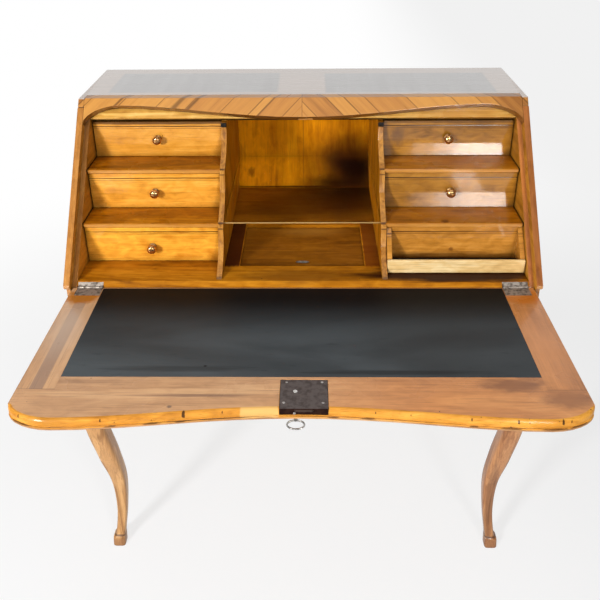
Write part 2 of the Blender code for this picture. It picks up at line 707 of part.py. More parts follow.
# Bottom board that the frieze drawers run on
board("frieze_bottom", (-apron_reach, apron_reach), (FRONT_Y + RAIL_THICK, INNER_BACK),
      (CASE_UNDER, FRIEZE_FLOOR), PINE, BARE)

# Frieze drawers, lopers and the guides between them
frieze_top = LOPER_BOTTOM - PLAY
ledge = (LOPER_BOTTOM - GAP - GUIDE_THICK, LOPER_BOTTOM - GAP)
for hand, way in (("left", -1), ("right", 1)):
    guide = plank("loper_guide_" + hand, [
        (way * GUIDE_IN, FRIEZE_FLOOR + GAP),
        (way * GUIDE_OUT, FRIEZE_FLOOR + GAP),
        (way * GUIDE_OUT, ledge[0]),
        (way * LOPER_OUT, ledge[0]),
        (way * LOPER_OUT, ledge[1]),
        (way * GUIDE_OUT, ledge[1]),
        (way * GUIDE_OUT, FLOOR_UNDER - GAP),
        (way * GUIDE_IN, FLOOR_UNDER - GAP),
    ], INNER_BACK - rail_y[1] - GAP, (0.0, (rail_y[1] + GAP + INNER_BACK) / 2, 0.0), FACING_FRONT)
    finish(guide, PINE, BARE)

    loper_x = sorted((way * LOPER_IN, way * LOPER_OUT))
    loper_rear = FRONT_Y + LOPER_LENGTH - LOPER_TRAVEL
    loper_front = FRONT_Y - LOPER_TRAVEL
    loper = board("loper_" + hand, loper_x, (loper_front, loper_rear), (LOPER_BOTTOM, LOPER_TOP), WALNUT)
    carry(joint("loper_slide_" + hand, (way * LOPER_IN, loper_front, LOPER_BOTTOM)), loper)

    name = "frieze_drawer_" + hand
    ends = sorted((way * (WELL_HALF + PLAY), way * (POST_IN - PLAY)))
    bottom = FRIEZE_FLOOR + GAP
    front = board(name + "_front", ends, (FRONT_Y, FRONT_Y + RAIL_THICK - GAP), (bottom, frieze_top), WALNUT)
    box_x = sorted((way * (WELL_HALF + PLAY), way * (GUIDE_IN - PLAY)))
    box = drawer_box(name + "_box", box_x, (FRONT_Y + RAIL_THICK, INNER_BACK - PLAY),
                     (bottom, ledge[0] - DRAWER_HEADROOM), FRIEZE_WALL, PINE)
    pull = knob(name + "_knob", (ends[0] + ends[1]) / 2, FRONT_Y, (bottom + frieze_top) / 2)
    carry(joint(name + "_slide", ((ends[0] + ends[1]) / 2, FRONT_Y, bottom)), front, box, pull)


def leg_line():
    """Smooth stations down the leg, as (height, lean, half width), from the sole to the top of the post."""
    turns = [Vector((share * CASE_UNDER, lean, half)) for share, lean, half in LEG_TURNS]
    stations = []
    for n in range(len(turns) - 1):
        here, there = turns[n], turns[n + 1]
        before = turns[max(n - 1, 0)]
        after = turns[min(n + 2, len(turns) - 1)]
        rise = there.x - here.x
        pull_here = (there - before) * (rise / max(there.x - before.x, WELD)) / 3
        pull_there = (after - here) * (rise / max(after.x - here.x, WELD)) / 3
        stations += interpolate_bezier(here, here + pull_here, there - pull_there, there, LEG_STEPS + 1)[:-1]
    stations.append(turns[-1])
    stations.append(Vector((POST_TOP, 0.0, POST / 2)))
    return stations


def leg(name, way_x, way_y, post_x, post_y):
    """A cabriole leg lofted through squarish sections, leaning out over the corner it stands under."""
    mesh = bpy.data.meshes.new(name)
    shape = bmesh.new()
    rings = []
    for height, lean, half in leg_line():
        toe = TOE_REACH * max(0.0, 1 - height / TOE_HEIGHT)
        ring = []
        for n in range(LEG_SIDES):
            angle = 2 * math.pi * (n + 0.5) / LEG_SIDES
            reach = (abs(math.cos(angle)) ** LEG_SQUARENESS + abs(math.sin(angle)) ** LEG_SQUARENESS)
            radius = half / reach ** (1 / LEG_SQUARENESS)
            ring.append(shape.verts.new((way_x * lean + radius * math.cos(angle),
                                         way_y * (lean + toe) + radius * math.sin(angle), height)))
        rings.append(ring)
    for low, high in zip(rings, rings[1:]):
        for n in range(LEG_SIDES):
            m = (n + 1) % LEG_SIDES
            shape.faces.new((low[n], low[m], high[m], high[n]))
    shape.faces.new(list(reversed(rings[0])))
    shape.faces.new(rings[-1])
    shape.to_mesh(mesh)
    shape.free()
    piece = bpy.data.objects.new(name, mesh)
    piece.location = (post_x, post_y, 0.0)
    return finish(piece, LEG_WALNUT, WAXED)


# Four cabriole legs, each with the post that rises into its corner of the case
post_x = HALF_WIDTH - LOWER_INSET - POST / 2
post_ends = {"front": (-1, FRONT_Y + POST / 2), "rear": (1, BACK_Y - LOWER_INSET - POST / 2)}
for end, (way_y, post_y) in post_ends.items():
    for hand, way_x in (("left", -1), ("right", 1)):
        leg("leg_" + end + "_" + hand, way_x, way_y, way_x * post_x, post_y)

# Fall front, drawn lying open: inner face up, its outer lip proud of the free edge
lid_edge = [(x, -up) for x, up in free_edge(LID_HALF, 0.0)]
hinge_edge = -PLAY
lid_board = plank("lid_board", [*lid_edge, (LID_HALF, hinge_edge), (-LID_HALF, hinge_edge)], LID_THICK,
                  (0.0, 0.0, WRITING_HEIGHT - LID_THICK / 2), LYING)
step_half = LID_HALF + PLAY
lip_step = plank("lip_step", [
    *((x, -up) for x, up in free_edge(step_half, -LIP_PROUD)),
    (step_half, -2 * LID_CREST),
    (-step_half, -2 * LID_CREST),
], LID_THICK, (0.0, 0.0, WRITING_HEIGHT + LIP_THICK - LID_THICK / 2), LYING)

# Leather in its recess on the inner face
leather_half = LID_HALF - LEATHER_SIDE_MARGIN
leather_y = (-LID_CENTRE + LEATHER_FRONT_MARGIN, -LEATHER_REAR_MARGIN)
leather_recess = block("leather_recess", (-leather_half - GAP, leather_half + GAP),
                       (leather_y[0] - GAP, leather_y[1] + GAP),
                       (WRITING_HEIGHT - LEATHER_THICK - GAP, WRITING_HEIGHT + LEATHER_THICK))
writing_leather = block("writing_leather", (-leather_half, leather_half), leather_y,
                        (WRITING_HEIGHT - LEATHER_THICK, WRITING_HEIGHT))
finish(writing_leather, LEATHER, WORN)

# Iron box lock let into the middle of the free edge: plate, open case, selvage and the pin the key turns on
edge_y = -(LID_CENTRE - LIP_PROUD)
lock_x = (LOCK_X - LOCK_WIDTH / 2, LOCK_X + LOCK_WIDTH / 2)
body_x = (lock_x[0] + LOCK_BODY_INSET, lock_x[1] - LOCK_BODY_INSET)
body_y = (edge_y, edge_y + LOCK_DEPTH - LOCK_BODY_INSET)
body_z = (WRITING_HEIGHT - LOCK_PLATE - LOCK_BODY_HEIGHT, WRITING_HEIGHT)
selvage_z = (WRITING_HEIGHT - LID_THICK + LIP_THICK + 2 * GAP, WRITING_HEIGHT)
past_edge = edge_y - 2 * LIP_PROUD
key_x = LOCK_X + KEY_OFFSET
key_y = edge_y + KEY_SETBACK
bolt_z = (WRITING_HEIGHT - LOCK_PLATE - PLAY - BOLT_THICK, WRITING_HEIGHT - LOCK_PLATE - PLAY)
bolt_x = (LOCK_X - BOLT_WIDTH / 2, LOCK_X + BOLT_WIDTH / 2)

lock_case = block("lock_case", lock_x, (edge_y, edge_y + LOCK_DEPTH),
                  (WRITING_HEIGHT - LOCK_PLATE, WRITING_HEIGHT))
lock_body = block("lock_body", body_x, (edge_y + LOCK_WALL / 2, body_y[1]),
                  (body_z[0], body_z[1] - LOCK_PLATE / 2))
lock_selvage = block("lock_selvage", lock_x, (edge_y, edge_y + LOCK_WALL), selvage_z)
lock_room = block("lock_room", (body_x[0] + LOCK_WALL, body_x[1] - LOCK_WALL),
                  (edge_y + LOCK_WALL, body_y[1] - LOCK_WALL),
                  (body_z[0] - LOCK_WALL, body_z[1] - LOCK_PLATE))
bolt_slot = block("bolt_slot", (bolt_x[0] - GAP, bolt_x[1] + GAP),
                  (edge_y - LOCK_WALL, edge_y + 2 * LOCK_WALL), (bolt_z[0] - GAP, bolt_z[1] + GAP))
key_pin = rod("key_pin", KEY_PIN_RADIUS, (key_x, key_y, body_z[0]),
              (key_x, key_y, WRITING_HEIGHT - LOCK_PLATE / 2), 12)
fuse(lock_case, as_cutter(lock_body), as_cutter(lock_selvage))
cut(lock_case, as_cutter(lock_room), as_cutter(bolt_slot))
fuse(lock_case, as_cutter(key_pin))
finish(lock_case, IRON, WORN, 1.0)

lock_pocket = block("lock_pocket", (lock_x[0] - GAP, lock_x[1] + GAP), (past_edge, edge_y + LOCK_DEPTH + GAP),
                    (WRITING_HEIGHT - LOCK_PLATE - GAP, WRITING_HEIGHT + LOCK_PLATE))
body_pocket = block("body_pocket", (body_x[0] - GAP, body_x[1] + GAP),
                    (edge_y + LOCK_WALL / 2, body_y[1] + GAP),
                    (body_z[0] - GAP, WRITING_HEIGHT + LOCK_PLATE / 2))
selvage_pocket = block("selvage_pocket", (lock_x[0] - GAP, lock_x[1] + GAP),
                       (past_edge, edge_y + LOCK_WALL + GAP),
                       (selvage_z[0] - GAP, WRITING_HEIGHT + LOCK_PLATE / 3))
key_hole = rod("key_hole", KEY_RADIUS + PLAY, (key_x, key_y, WRITING_HEIGHT - 2 * LID_THICK),
               (key_x, key_y, WRITING_HEIGHT - LID_THICK / 3))
bit_slot = block("bit_slot", (key_x - BIT_THICK / 2 - PLAY, key_x + BIT_THICK / 2 + PLAY),
                 (key_y, key_y + BIT_REACH + PLAY),
                 (WRITING_HEIGHT - 2 * LID_THICK, WRITING_HEIGHT - LID_THICK / 3))

# Bolt that the key throws out of the free edge
lock_bolt = ease(block("lock_bolt", bolt_x, (edge_y, edge_y + BOLT_LENGTH), bolt_z), GAP)
finish(lock_bolt, STEEL, WAXED, 1.0)
bolt_axis = joint("bolt_slide", (LOCK_X, edge_y, WRITING_HEIGHT))
carry(bolt_axis, lock_bolt)

# Key with a hollow shank on the lock's pin, a bit under the bolt and an oval bow hanging below the lid
shank_top = bolt_z[0]
shank_bottom = WRITING_HEIGHT - KEY_LENGTH
key = rod("key", KEY_RADIUS, (key_x, key_y, shank_bottom), (key_x, key_y, shank_top), 14)
key_hollow = rod("key_hollow", KEY_BORE, (key_x, key_y, body_z[0] - LOCK_WALL),
                 (key_x, key_y, WRITING_HEIGHT), 12)
bit_top = bolt_z[0] - PLAY
key_bit = block("key_bit", (key_x - BIT_THICK / 2, key_x + BIT_THICK / 2),
                (key_y + (KEY_BORE + KEY_RADIUS) / 2, key_y + BIT_REACH), (bit_top - BIT_HEIGHT, bit_top))
bow_curve = bpy.data.curves.new("key_bow", 'CURVE')
bow_curve.dimensions = '3D'
bow_curve.bevel_depth = BOW_WIRE
bow_curve.bevel_resolution = 1
bow_spline = bow_curve.splines.new('POLY')
bow_spline.points.add(BOW_POINTS - 1)
for n, point in enumerate(bow_spline.points):
    turn = 2 * math.pi * n / BOW_POINTS
    across = (BOW_WIDTH / 2 - BOW_WIRE) * math.cos(turn)
    up = (BOW_HEIGHT / 2 - BOW_WIRE) * math.sin(turn)
    point.co = (across, 0.0, up, 1.0)
bow_spline.use_cyclic_u = True
bow_drawn = bpy.data.objects.new("key_bow", bow_curve)
bpy.context.scene.collection.objects.link(bow_drawn)
bow_mesh = bpy.data.meshes.new_from_object(bow_drawn.evaluated_get(bpy.context.evaluated_depsgraph_get()))
bpy.data.objects.remove(bow_drawn)
key_bow = bpy.data.objects.new("key_bow", bow_mesh)
key_bow.location = (key_x, key_y, shank_bottom - BOW_HEIGHT / 2 + BOW_WIRE)
cut(fuse(key, as_cutter(key_bit), as_cutter(key_bow)), as_cutter(key_hollow))
finish(key, STEEL, WAXED, 1.0)
key_axis = joint("key_turn", (key_x, key_y, WRITING_HEIGHT))
carry(key_axis, key)

# Butt hinges: the case leaf on the bevelled floor edge carries the pin, the lid leaf turns on it
def axis_at(across):
    """The point of the lid's hinge line at this place across the desk."""
    return across, 0.0, WRITING_HEIGHT


hinge_pockets = []
lid_leaves = []
for hand, way in (("left", -1), ("right", 1)):
    x = (way * HINGE_X - HINGE_LENGTH / 2, way * HINGE_X + HINGE_LENGTH / 2)
    third = HINGE_LENGTH / 3
    inner = (x[0] + third, x[1] - third)
    room = KNUCKLE_RADIUS + GAP

    case_leaf = block("hinge_case_leaf_" + hand, x, (0.0, HINGE_CASE_LEAF), (-LEAF_THICK, 0.0))
    case_leaf.data.transform(Matrix.Translation((0.0, HINGE_CASE_LEAF / 2, -LEAF_THICK / 2 - PLAY)))
    case_leaf.location = axis_at(way * HINGE_X)
    case_leaf.rotation_euler = ON_SLOPE
    knuckles = [rod("case_knuckle_%s_%d" % (hand, n), KNUCKLE_RADIUS, axis_at(a), axis_at(b))
                for n, (a, b) in enumerate(((x[0], inner[0] - GAP), (inner[1] + GAP, x[1])))]
    case_room = rod("case_room_" + hand, room, axis_at(inner[0] - GAP), axis_at(inner[1] + GAP))
    pin = rod("hinge_pin_" + hand, PIN_RADIUS, axis_at(x[0] + GAP), axis_at(x[1] - GAP), 12)
    cut(case_leaf, as_cutter(case_room))
    fuse(case_leaf, *(as_cutter(k) for k in knuckles), as_cutter(pin))
    finish(case_leaf, STEEL, WORN, 1.0)

    lid_leaf = block("hinge_lid_leaf_" + hand, x, (-HINGE_LID_LEAF, 0.0),
                     (WRITING_HEIGHT - LEAF_THICK, WRITING_HEIGHT))
    lid_knuckle = rod("lid_knuckle_" + hand, KNUCKLE_RADIUS, axis_at(inner[0]), axis_at(inner[1]))
    lid_rooms = [rod("lid_room_%s_%d" % (hand, n), room, axis_at(a), axis_at(b))
                 for n, (a, b) in enumerate(((x[0] - GAP, inner[0]), (inner[1], x[1] + GAP)))]
    pin_hole = rod("pin_hole_" + hand, PIN_RADIUS + GAP, axis_at(x[0]), axis_at(x[1]), 12)
    fuse(lid_leaf, as_cutter(lid_knuckle))
    cut(lid_leaf, *(as_cutter(r) for r in lid_rooms), as_cutter(pin_hole))
    lid_leaves.append(finish(lid_leaf, STEEL, WORN, 1.0))

    wide = (x[0] - GAP, x[1] + GAP)
    knuckle_room = rod("knuckle_room_" + hand, room, axis_at(wide[0]), axis_at(wide[1]))
    lid_seat = block("lid_seat_" + hand, wide, (-HINGE_LID_LEAF - GAP, PLAY),
                     (WRITING_HEIGHT - LEAF_THICK - GAP, WRITING_HEIGHT + LEAF_THICK))
    case_seat = block("case_seat_" + hand, wide, (-PLAY, HINGE_CASE_LEAF + GAP),
                      (-LEAF_THICK - PLAY - GAP, LEAF_THICK))
    case_seat.data.transform(Matrix.Translation((0.0, case_seat.location.y, case_seat.location.z)))
    case_seat.location = axis_at(way * HINGE_X)
    case_seat.rotation_euler = ON_SLOPE
    cut(desk_floor, as_cutter(knuckle_room), as_cutter(case_seat))
    hinge_pockets += [knuckle_room, as_cutter(lid_seat)]

cut(lid_board, as_cutter(lip_step), as_cutter(leather_recess), as_cutter(lock_pocket), as_cutter(body_pocket),
    as_cutter(selvage_pocket), as_cutter(key_hole), as_cutter(bit_slot), *hinge_pockets)
finish(lid_board, WALNUT, WAXED)
lid_axis = joint("lid_hinge", axis_at(0.0))
carry(lid_axis, lid_board, writing_leather, lock_case, *lid_leaves, bolt_axis, key_axis)

# The opened desk stands with the middle of its depth over the origin
rear_reach = post_ends["rear"][1] + max(lean + half for height, lean, half in leg_line())
ground = joint("desk_origin", (0.0, (LID_CREST - rear_reach) / 2, 0.0))
for piece in [*desk.objects, *cutters.objects]:
    if piece.parent is None and piece is not ground:
        piece.parent = ground
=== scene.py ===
import json
import math

import bmesh
import bpy
from mathutils import Matrix, Vector
from mathutils.geometry import interpolate_bezier

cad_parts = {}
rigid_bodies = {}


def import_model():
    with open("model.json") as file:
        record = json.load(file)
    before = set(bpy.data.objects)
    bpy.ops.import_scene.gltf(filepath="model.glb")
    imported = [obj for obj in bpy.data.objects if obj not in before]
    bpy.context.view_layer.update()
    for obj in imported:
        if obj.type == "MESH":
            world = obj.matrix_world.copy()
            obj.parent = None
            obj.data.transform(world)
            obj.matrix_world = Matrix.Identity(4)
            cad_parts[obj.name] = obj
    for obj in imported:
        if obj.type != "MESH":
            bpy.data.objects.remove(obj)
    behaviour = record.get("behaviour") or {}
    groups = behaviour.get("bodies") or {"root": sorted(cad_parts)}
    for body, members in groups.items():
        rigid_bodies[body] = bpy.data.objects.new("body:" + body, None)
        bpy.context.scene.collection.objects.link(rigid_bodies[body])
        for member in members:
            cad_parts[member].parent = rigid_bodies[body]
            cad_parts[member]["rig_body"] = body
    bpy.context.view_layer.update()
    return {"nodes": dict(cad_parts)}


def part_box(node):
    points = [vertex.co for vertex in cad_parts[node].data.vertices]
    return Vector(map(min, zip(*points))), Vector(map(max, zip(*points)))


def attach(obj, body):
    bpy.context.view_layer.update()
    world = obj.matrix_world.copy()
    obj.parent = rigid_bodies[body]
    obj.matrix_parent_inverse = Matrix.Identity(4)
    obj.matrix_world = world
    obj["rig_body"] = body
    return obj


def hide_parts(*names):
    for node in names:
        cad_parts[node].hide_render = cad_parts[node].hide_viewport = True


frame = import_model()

# Cabriole legs
# Four legs of solid walnut, sawn from the square and shaved to shape, each ending in a small hoof under a
# cut line. The squared post at the top of each leg is tenoned to the rails of the case.
LEG_HEIGHT = 0.5757
POST_TOP = 0.7074
POST_HALF = 0.023
LEG_SQUARENESS = 5.0
LEG_SIDES = 40
LEG_STEPS = 9
TOE_HEIGHT = 0.021
TOE_REACH = 0.006
LEG_STATIONS = (
    (0.000, 0.0028, 0.0143),
    (0.004, 0.0030, 0.0147),
    (0.034, 0.0030, 0.0143),
    (0.038, 0.0020, 0.0132),
    (0.046, 0.0000, 0.0110),
    (0.173, -0.0092, 0.0117),
    (0.326, -0.0114, 0.0160),
    (0.476, -0.0006, 0.0203),
    (0.705, 0.0142, 0.0209),
    (1.000, 0.0000, POST_HALF),
)
POST_PLACES = {
    "front_left": (-0.443, -0.03531, -1, -1),
    "front_right": (0.443, -0.03531, 1, -1),
    "rear_left": (-0.443, 0.39064, -1, 1),
    "rear_right": (0.443, 0.39064, 1, 1),
}
GRAIN_TURN = {
    "X": (0.0, 0.0, 0.0),
    "Y": (0.0, 0.0, -math.pi / 2),
    "Z": (0.0, math.pi / 2, 0.0),
}
HANDS = {"left": -1, "right": 1}


def add_node(tree, kind, inputs, **settings):
    """A new node with its settings, joined to the sockets or set to the values that it is given."""
    node = tree.nodes.new("ShaderNode" + kind)
    for setting, value in settings.items():
        setattr(node, setting, value)
    for socket, value in inputs.items():
        if isinstance(value, bpy.types.NodeSocket):
            tree.links.new(value, node.inputs[socket])
        else:
            node.inputs[socket].default_value = value
    return node


def opaque(colour, share=1.0):
    """A colour, or a darker share of it, as the shaders take it."""
    return (*(share * part for part in colour), 1.0)


class Finish:
    """One finish on the bench: its main shader, and short calls that add nodes and join them."""

    def __init__(self, name, sockets):
        self.material = bpy.data.materials.new(name)
        self.material.use_nodes = True
        self.tree = self.material.node_tree
        self.shader = self.tree.nodes["Principled BSDF"]
        for socket, value in sockets.items():
            self.shader.inputs[socket].default_value = value

    def add(self, kind, inputs, **settings):
        return add_node(self.tree, kind, inputs, **settings)

    def join(self, value, socket):
        self.tree.links.new(value, self.shader.inputs[socket])

    def place(self):
        """Where a point of the piece lies on the desk, in metres."""
        return self.add("TexCoord", {}).outputs["Object"]

    def turned(self, vector, rotation, shift=(0.0, 0.0, 0.0)):
        return self.add("Mapping", {"Vector": vector, "Rotation": rotation, "Location": shift}).outputs[0]

    def stretched(self, vector, scale, shift=(0.0, 0.0, 0.0)):
        return self.add("Mapping", {"Vector": vector, "Scale": scale, "Location": shift}).outputs[0]

    def noise(self, vector, scale, detail=2.0, distortion=0.0):
        inputs = {"Vector": vector, "Scale": scale, "Detail": detail, "Distortion": distortion}
        return self.add("TexNoise", inputs).outputs[0]

    def sum(self, operation, first, second=0.0):
        return self.add("Math", {0: first, 1: second}, operation=operation).outputs[0]

    def off(self, value, middle):
        """How far a value lies from a middle."""
        return self.sum('ABSOLUTE', self.sum('SUBTRACT', value, middle))

    def weighed(self, first, *others):
        """The sum of values, each given with its share."""
        total = self.sum('MULTIPLY', *first)
        for other in others:
            total = self.sum('ADD', total, self.sum('MULTIPLY', *other))
        return total

    def span(self, value, low, high, to_low=0.0, to_high=1.0):
        """A value spread smoothly from one range to another, and held at its ends."""
        inputs = {"Value": value, "From Min": low, "From Max": high, "To Min": to_low, "To Max": to_high}
        return self.add("MapRange", inputs, interpolation_type='SMOOTHSTEP').outputs[0]

    def blend(self, amount, first, second, how='MIX'):
        inputs = {0: amount, 6: first, 7: second}
        return self.add("Mix", inputs, data_type='RGBA', blend_type=how).outputs[2]

    def ramp(self, value, stops):
        node = self.add("ValToRGB", {0: value})
        elements = node.color_ramp.elements
        while len(elements) < len(stops):
            elements.new(0.5)
        for element, (position, colour) in zip(elements, stops):
            element.position = position
            element.color = opaque(colour)
        return node.outputs[0]

    def stain(self, vector, centre, reach, edge=0.35, torn=0.8, square=False):
        """A blotch with a torn soft edge, round or squared: 1 at its centre, 0 past its reach."""
        scale = [1 / r for r in reach]
        near = self.stretched(vector, scale, [-c / r for c, r in zip(centre, reach)])
        if square:
            sides = self.add("VectorMath", {0: near}, operation='ABSOLUTE').outputs[0]
            sides = self.add("SeparateXYZ", {0: sides}).outputs
            length = self.sum('MAXIMUM', sides["X"], sides["Y"])
        else:
            length = self.add("VectorMath", {0: near}, operation='LENGTH').outputs["Value"]
        ragged = self.sum('MULTIPLY_ADD', self.noise(near, 2.2, 3.0), torn)
        ragged.node.inputs[2].default_value = -0.5 * torn
        return self.span(self.sum('ADD', length, ragged), 1.0, edge)

    def marked(self, colour, vector, marks):
        """A colour with blotches, each as (centre, reach, shade, strength, the rest of what stain takes)."""
        for centre, reach, shade, strength, *border in marks:
            amount = self.sum('MULTIPLY', self.stain(vector, centre, reach, *border), strength)
            colour = self.blend(amount, colour, opaque(shade))
        return colour

    def relief(self, height, depth, strength=1.0):
        bump = self.add("Bump", {"Height": height, "Distance": depth, "Strength": strength})
        self.join(bump.outputs[0], "Normal")

    def give_way(self, amount, other):
        """An amount of the main shader gives way to another one."""
        both = self.add("MixShader", {0: amount, 1: self.shader.outputs[0], 2: other.outputs[0]})
        self.tree.links.new(both.outputs[0], self.tree.nodes["Material Output"].inputs["Surface"])


RING_TURNS = 46.0
FIBRE_SCALE = (7.0, 240.0, 240.0)
MOTTLE_SCALE = (30.0, 62.0, 62.0)
HEART_SCALE = (0.9, 20.0, 20.0)
PORE_SCALE = (16.0, 900.0, 900.0)
FIBRE_SHARE = 0.15
PORE_DEPTH = 0.40


def figured(finish, place, tones, grain, seed, figure, streaks, cloud=0.34):
    """The colour and surface of wood cut along its grain: rings, fibre, mottle, heart streaks and pores."""
    dark, middle, light = tones
    along = finish.turned(place, GRAIN_TURN[grain], (seed, seed * 0.37, seed * 0.61))
    broad = finish.noise(finish.stretched(along, (1.5, 15.0 * figure, 15.0 * figure)), 1.0, 3.0, 0.5)
    rings = finish.span(finish.sum('SINE', finish.sum('MULTIPLY', broad, RING_TURNS)), -1.0, 1.0)
    fibre = finish.noise(finish.stretched(along, FIBRE_SCALE), 1.0, 4.0)
    mottle = finish.noise(finish.stretched(along, MOTTLE_SCALE), 1.0, 5.0, 0.8)
    tone = finish.weighed((broad, 0.78 - cloud), (rings, 0.25 * streaks), (fibre, FIBRE_SHARE),
                          (mottle, cloud))
    colour = finish.ramp(tone, ((0.34, dark), (0.50, middle), (0.66, light)))
    heart = finish.noise(finish.stretched(along, HEART_SCALE, (3.1, 1.7, 0.4)), 1.0, 4.0, 0.9)
    heart = finish.span(heart, 0.58, 0.70, 0.0, streaks)
    colour = finish.blend(heart, colour, opaque(dark, 0.45))
    pores = finish.noise(finish.stretched(along, PORE_SCALE), 1.0, 1.0)
    pores = finish.span(pores, 0.58, 0.72, 0.0, PORE_DEPTH)
    colour = finish.blend(pores, colour, opaque(dark, 0.5))
    return colour, finish.sum('SUBTRACT', fibre, pores)


def dirt_and_painted_shade(finish, colour, grime_and_shade, reach, shade):
    """Wax and dust darken the corners that a cloth doesn't get to; the darkening follows how sheltered a
    point is, so it is painted shade too.
    """
    shelter = finish.add("AmbientOcclusion", {"Distance": reach}, samples=4).outputs["AO"]
    return finish.blend(finish.span(shelter, 0.80, 0.30, 0.0, grime_and_shade), colour, opaque(shade, 0.15))


WORM_SPACING = 70.0
WORM_HOLE = (0.012, 0.006, 0.003)


def wormed(finish, colour, place, share):
    """Flight holes of woodworm, a millimetre across, in a share of the places they could be."""
    cells = finish.add("TexVoronoi", {"Vector": place, "Scale": WORM_SPACING})
    hole = finish.span(cells.outputs["Distance"], 0.070, 0.050)
    bored = finish.add("SeparateColor", {0: cells.outputs["Color"]}).outputs[0]
    hole = finish.sum('MULTIPLY', hole, finish.sum('LESS_THAN', bored, share))
    return finish.blend(hole, colour, opaque(WORM_HOLE))


MARK_WANDER = (0.0026, 0.0026, 0.0026)


def wood(name, tones, grain="X", seed=0.0, gloss=0.3, coat=0.35, shine=0.12, figure=1.0, streaks=0.35,
         grime_and_shade=0.55, reach=0.014, worm=0.0, marks=(), drop=0.0, lustre=0.25, cloud=0.34):
    """Planed and polished wood, in the dark, middle and light of its colour.
    Marks are blotches, given as Finish.marked takes them, whose outlines wander with the wood.
    Drop is the slope of a sagged board."""
    finish = Finish(name, {"Coat Weight": coat, "Coat Roughness": shine, "Specular IOR Level": lustre})
    place = finish.place()
    colour, surface = figured(finish, place, tones, grain, seed, figure, streaks, cloud)
    shaky = finish.add("TexNoise", {"Vector": place, "Scale": 16.0, "Detail": 3.0}).outputs["Color"]
    shaky = finish.add("VectorMath", {0: shaky, 1: (0.5, 0.5, 0.5)}, operation='SUBTRACT').outputs[0]
    about = finish.add("VectorMath", {0: shaky, 1: MARK_WANDER, 2: place}, operation='MULTIPLY_ADD')
    colour = finish.marked(colour, about.outputs[0], marks)
    if worm:
        colour = wormed(finish, colour, place, worm)
    # Sheltered corners darken with dirt and with painted shade.
    finish.join(dirt_and_painted_shade(finish, colour, grime_and_shade, reach, tones[0]), "Base Color")
    rubbed = finish.noise(place, 14.0, 3.0)
    finish.join(finish.span(rubbed, 0.3, 0.7, gloss - 0.07, gloss + 0.10), "Roughness")
    finish.relief(surface, 0.0005, 0.35)
    if drop:
        deep = finish.add("SeparateXYZ", {0: place}).outputs["Y"]
        finish.join(finish.add("Bump", {"Height": deep, "Distance": drop}).outputs[0], "Coat Normal")
    return finish.material


def solid(name, shape, material, sharp=35.0):
    """A piece from a finished bmesh, smooth apart from edges sharper than the given angle."""
    bmesh.ops.recalc_face_normals(shape, faces=shape.faces)
    mesh = bpy.data.meshes.new(name)
    shape.to_mesh(mesh)
    shape.free()
    mesh.polygons.foreach_set("use_smooth", [True] * len(mesh.polygons))
    mesh.set_sharp_from_angle(angle=math.radians(sharp))
    mesh.materials.append(material)
    piece = bpy.data.objects.new(name, mesh)
    bpy.context.scene.collection.objects.link(piece)
    return piece


def fit(piece, node):
    """The piece is fixed to a CAD node, on the node's own body."""
    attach(piece, frame["nodes"][node]["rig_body"])


def stand_for(piece, node):
    """The piece takes a CAD node's place."""
    fit(piece, node)
    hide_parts(node)


def leg_line():
    """Smooth stations up the leg, as (height, lean, half width)."""
    turns = [Vector((share * LEG_HEIGHT, lean, half)) for share, lean, half in LEG_STATIONS]
    stations = []
    for n, (here, there) in enumerate(zip(turns, turns[1:])):
        before = turns[max(n - 1, 0)]
        after = turns[min(n + 2, len(turns) - 1)]
        rise = there.x - here.x
        pull_here = (there - before) * (rise / (there.x - before.x)) / 3
        pull_there = (after - here) * (rise / (after.x - here.x)) / 3
        stations += interpolate_bezier(here, here + pull_here, there - pull_there, there, LEG_STEPS)[:-1]
    return stations + [turns[-1], Vector((POST_TOP, 0.0, POST_HALF))]


# Left legs take lit tones and right legs darker ones: the difference is painted shade.
LEG_WALNUT_LIT_AND_SHADED = {
    "left": ((0.28, 0.126, 0.040), (0.50, 0.255, 0.092), (0.66, 0.370, 0.148)),
    "right": ((0.20, 0.076, 0.026), (0.39, 0.168, 0.064), (0.55, 0.265, 0.108)),
}
for corner, (post_x, post_y, way_x, way_y) in POST_PLACES.items():
    hand = corner.split("_")[1]
    cut_line = ((post_x, post_y, 0.0235), (0.05, 0.05, 0.0022), (0.05, 0.018, 0.008), 0.7)
    hoof = ((post_x, post_y, 0.0), (0.08, 0.08, 0.024), (0.26, 0.115, 0.05), 0.55, 0.6, 0.2)
    leg_walnut = wood("leg_walnut_" + corner, LEG_WALNUT_LIT_AND_SHADED[hand], "Z", 2.0 + post_x, gloss=0.36, coat=0.25,
                      figure=3.0, streaks=0.35, worm=0.04, marks=(hoof, cut_line), cloud=0.12)
    leg = bmesh.new()
    rings = []
    for height, lean, half in leg_line():
        toe = TOE_REACH * max(0.0, 1 - height / TOE_HEIGHT)
        ring = []
        for n in range(LEG_SIDES):
            angle = 2 * math.pi * (n + 0.5) / LEG_SIDES
            reach = abs(math.cos(angle)) ** LEG_SQUARENESS + abs(math.sin(angle)) ** LEG_SQUARENESS
            radius = half / reach ** (1 / LEG_SQUARENESS)
            ring.append(leg.verts.new((post_x + way_x * lean + radius * math.cos(angle),
                                       post_y + way_y * (lean + toe) + radius * math.sin(angle), height)))
        rings.append(ring)
    for low, high in zip(rings, rings[1:]):
        for n in range(LEG_SIDES):
            leg.faces.new((low[n], low[n - 1], high[n - 1], high[n]))
    leg.faces.new(rings[0])
    leg.faces.new(rings[-1])
    stand_for(solid("leg_" + corner + "_carved", leg, leg_walnut), "leg_" + corner)

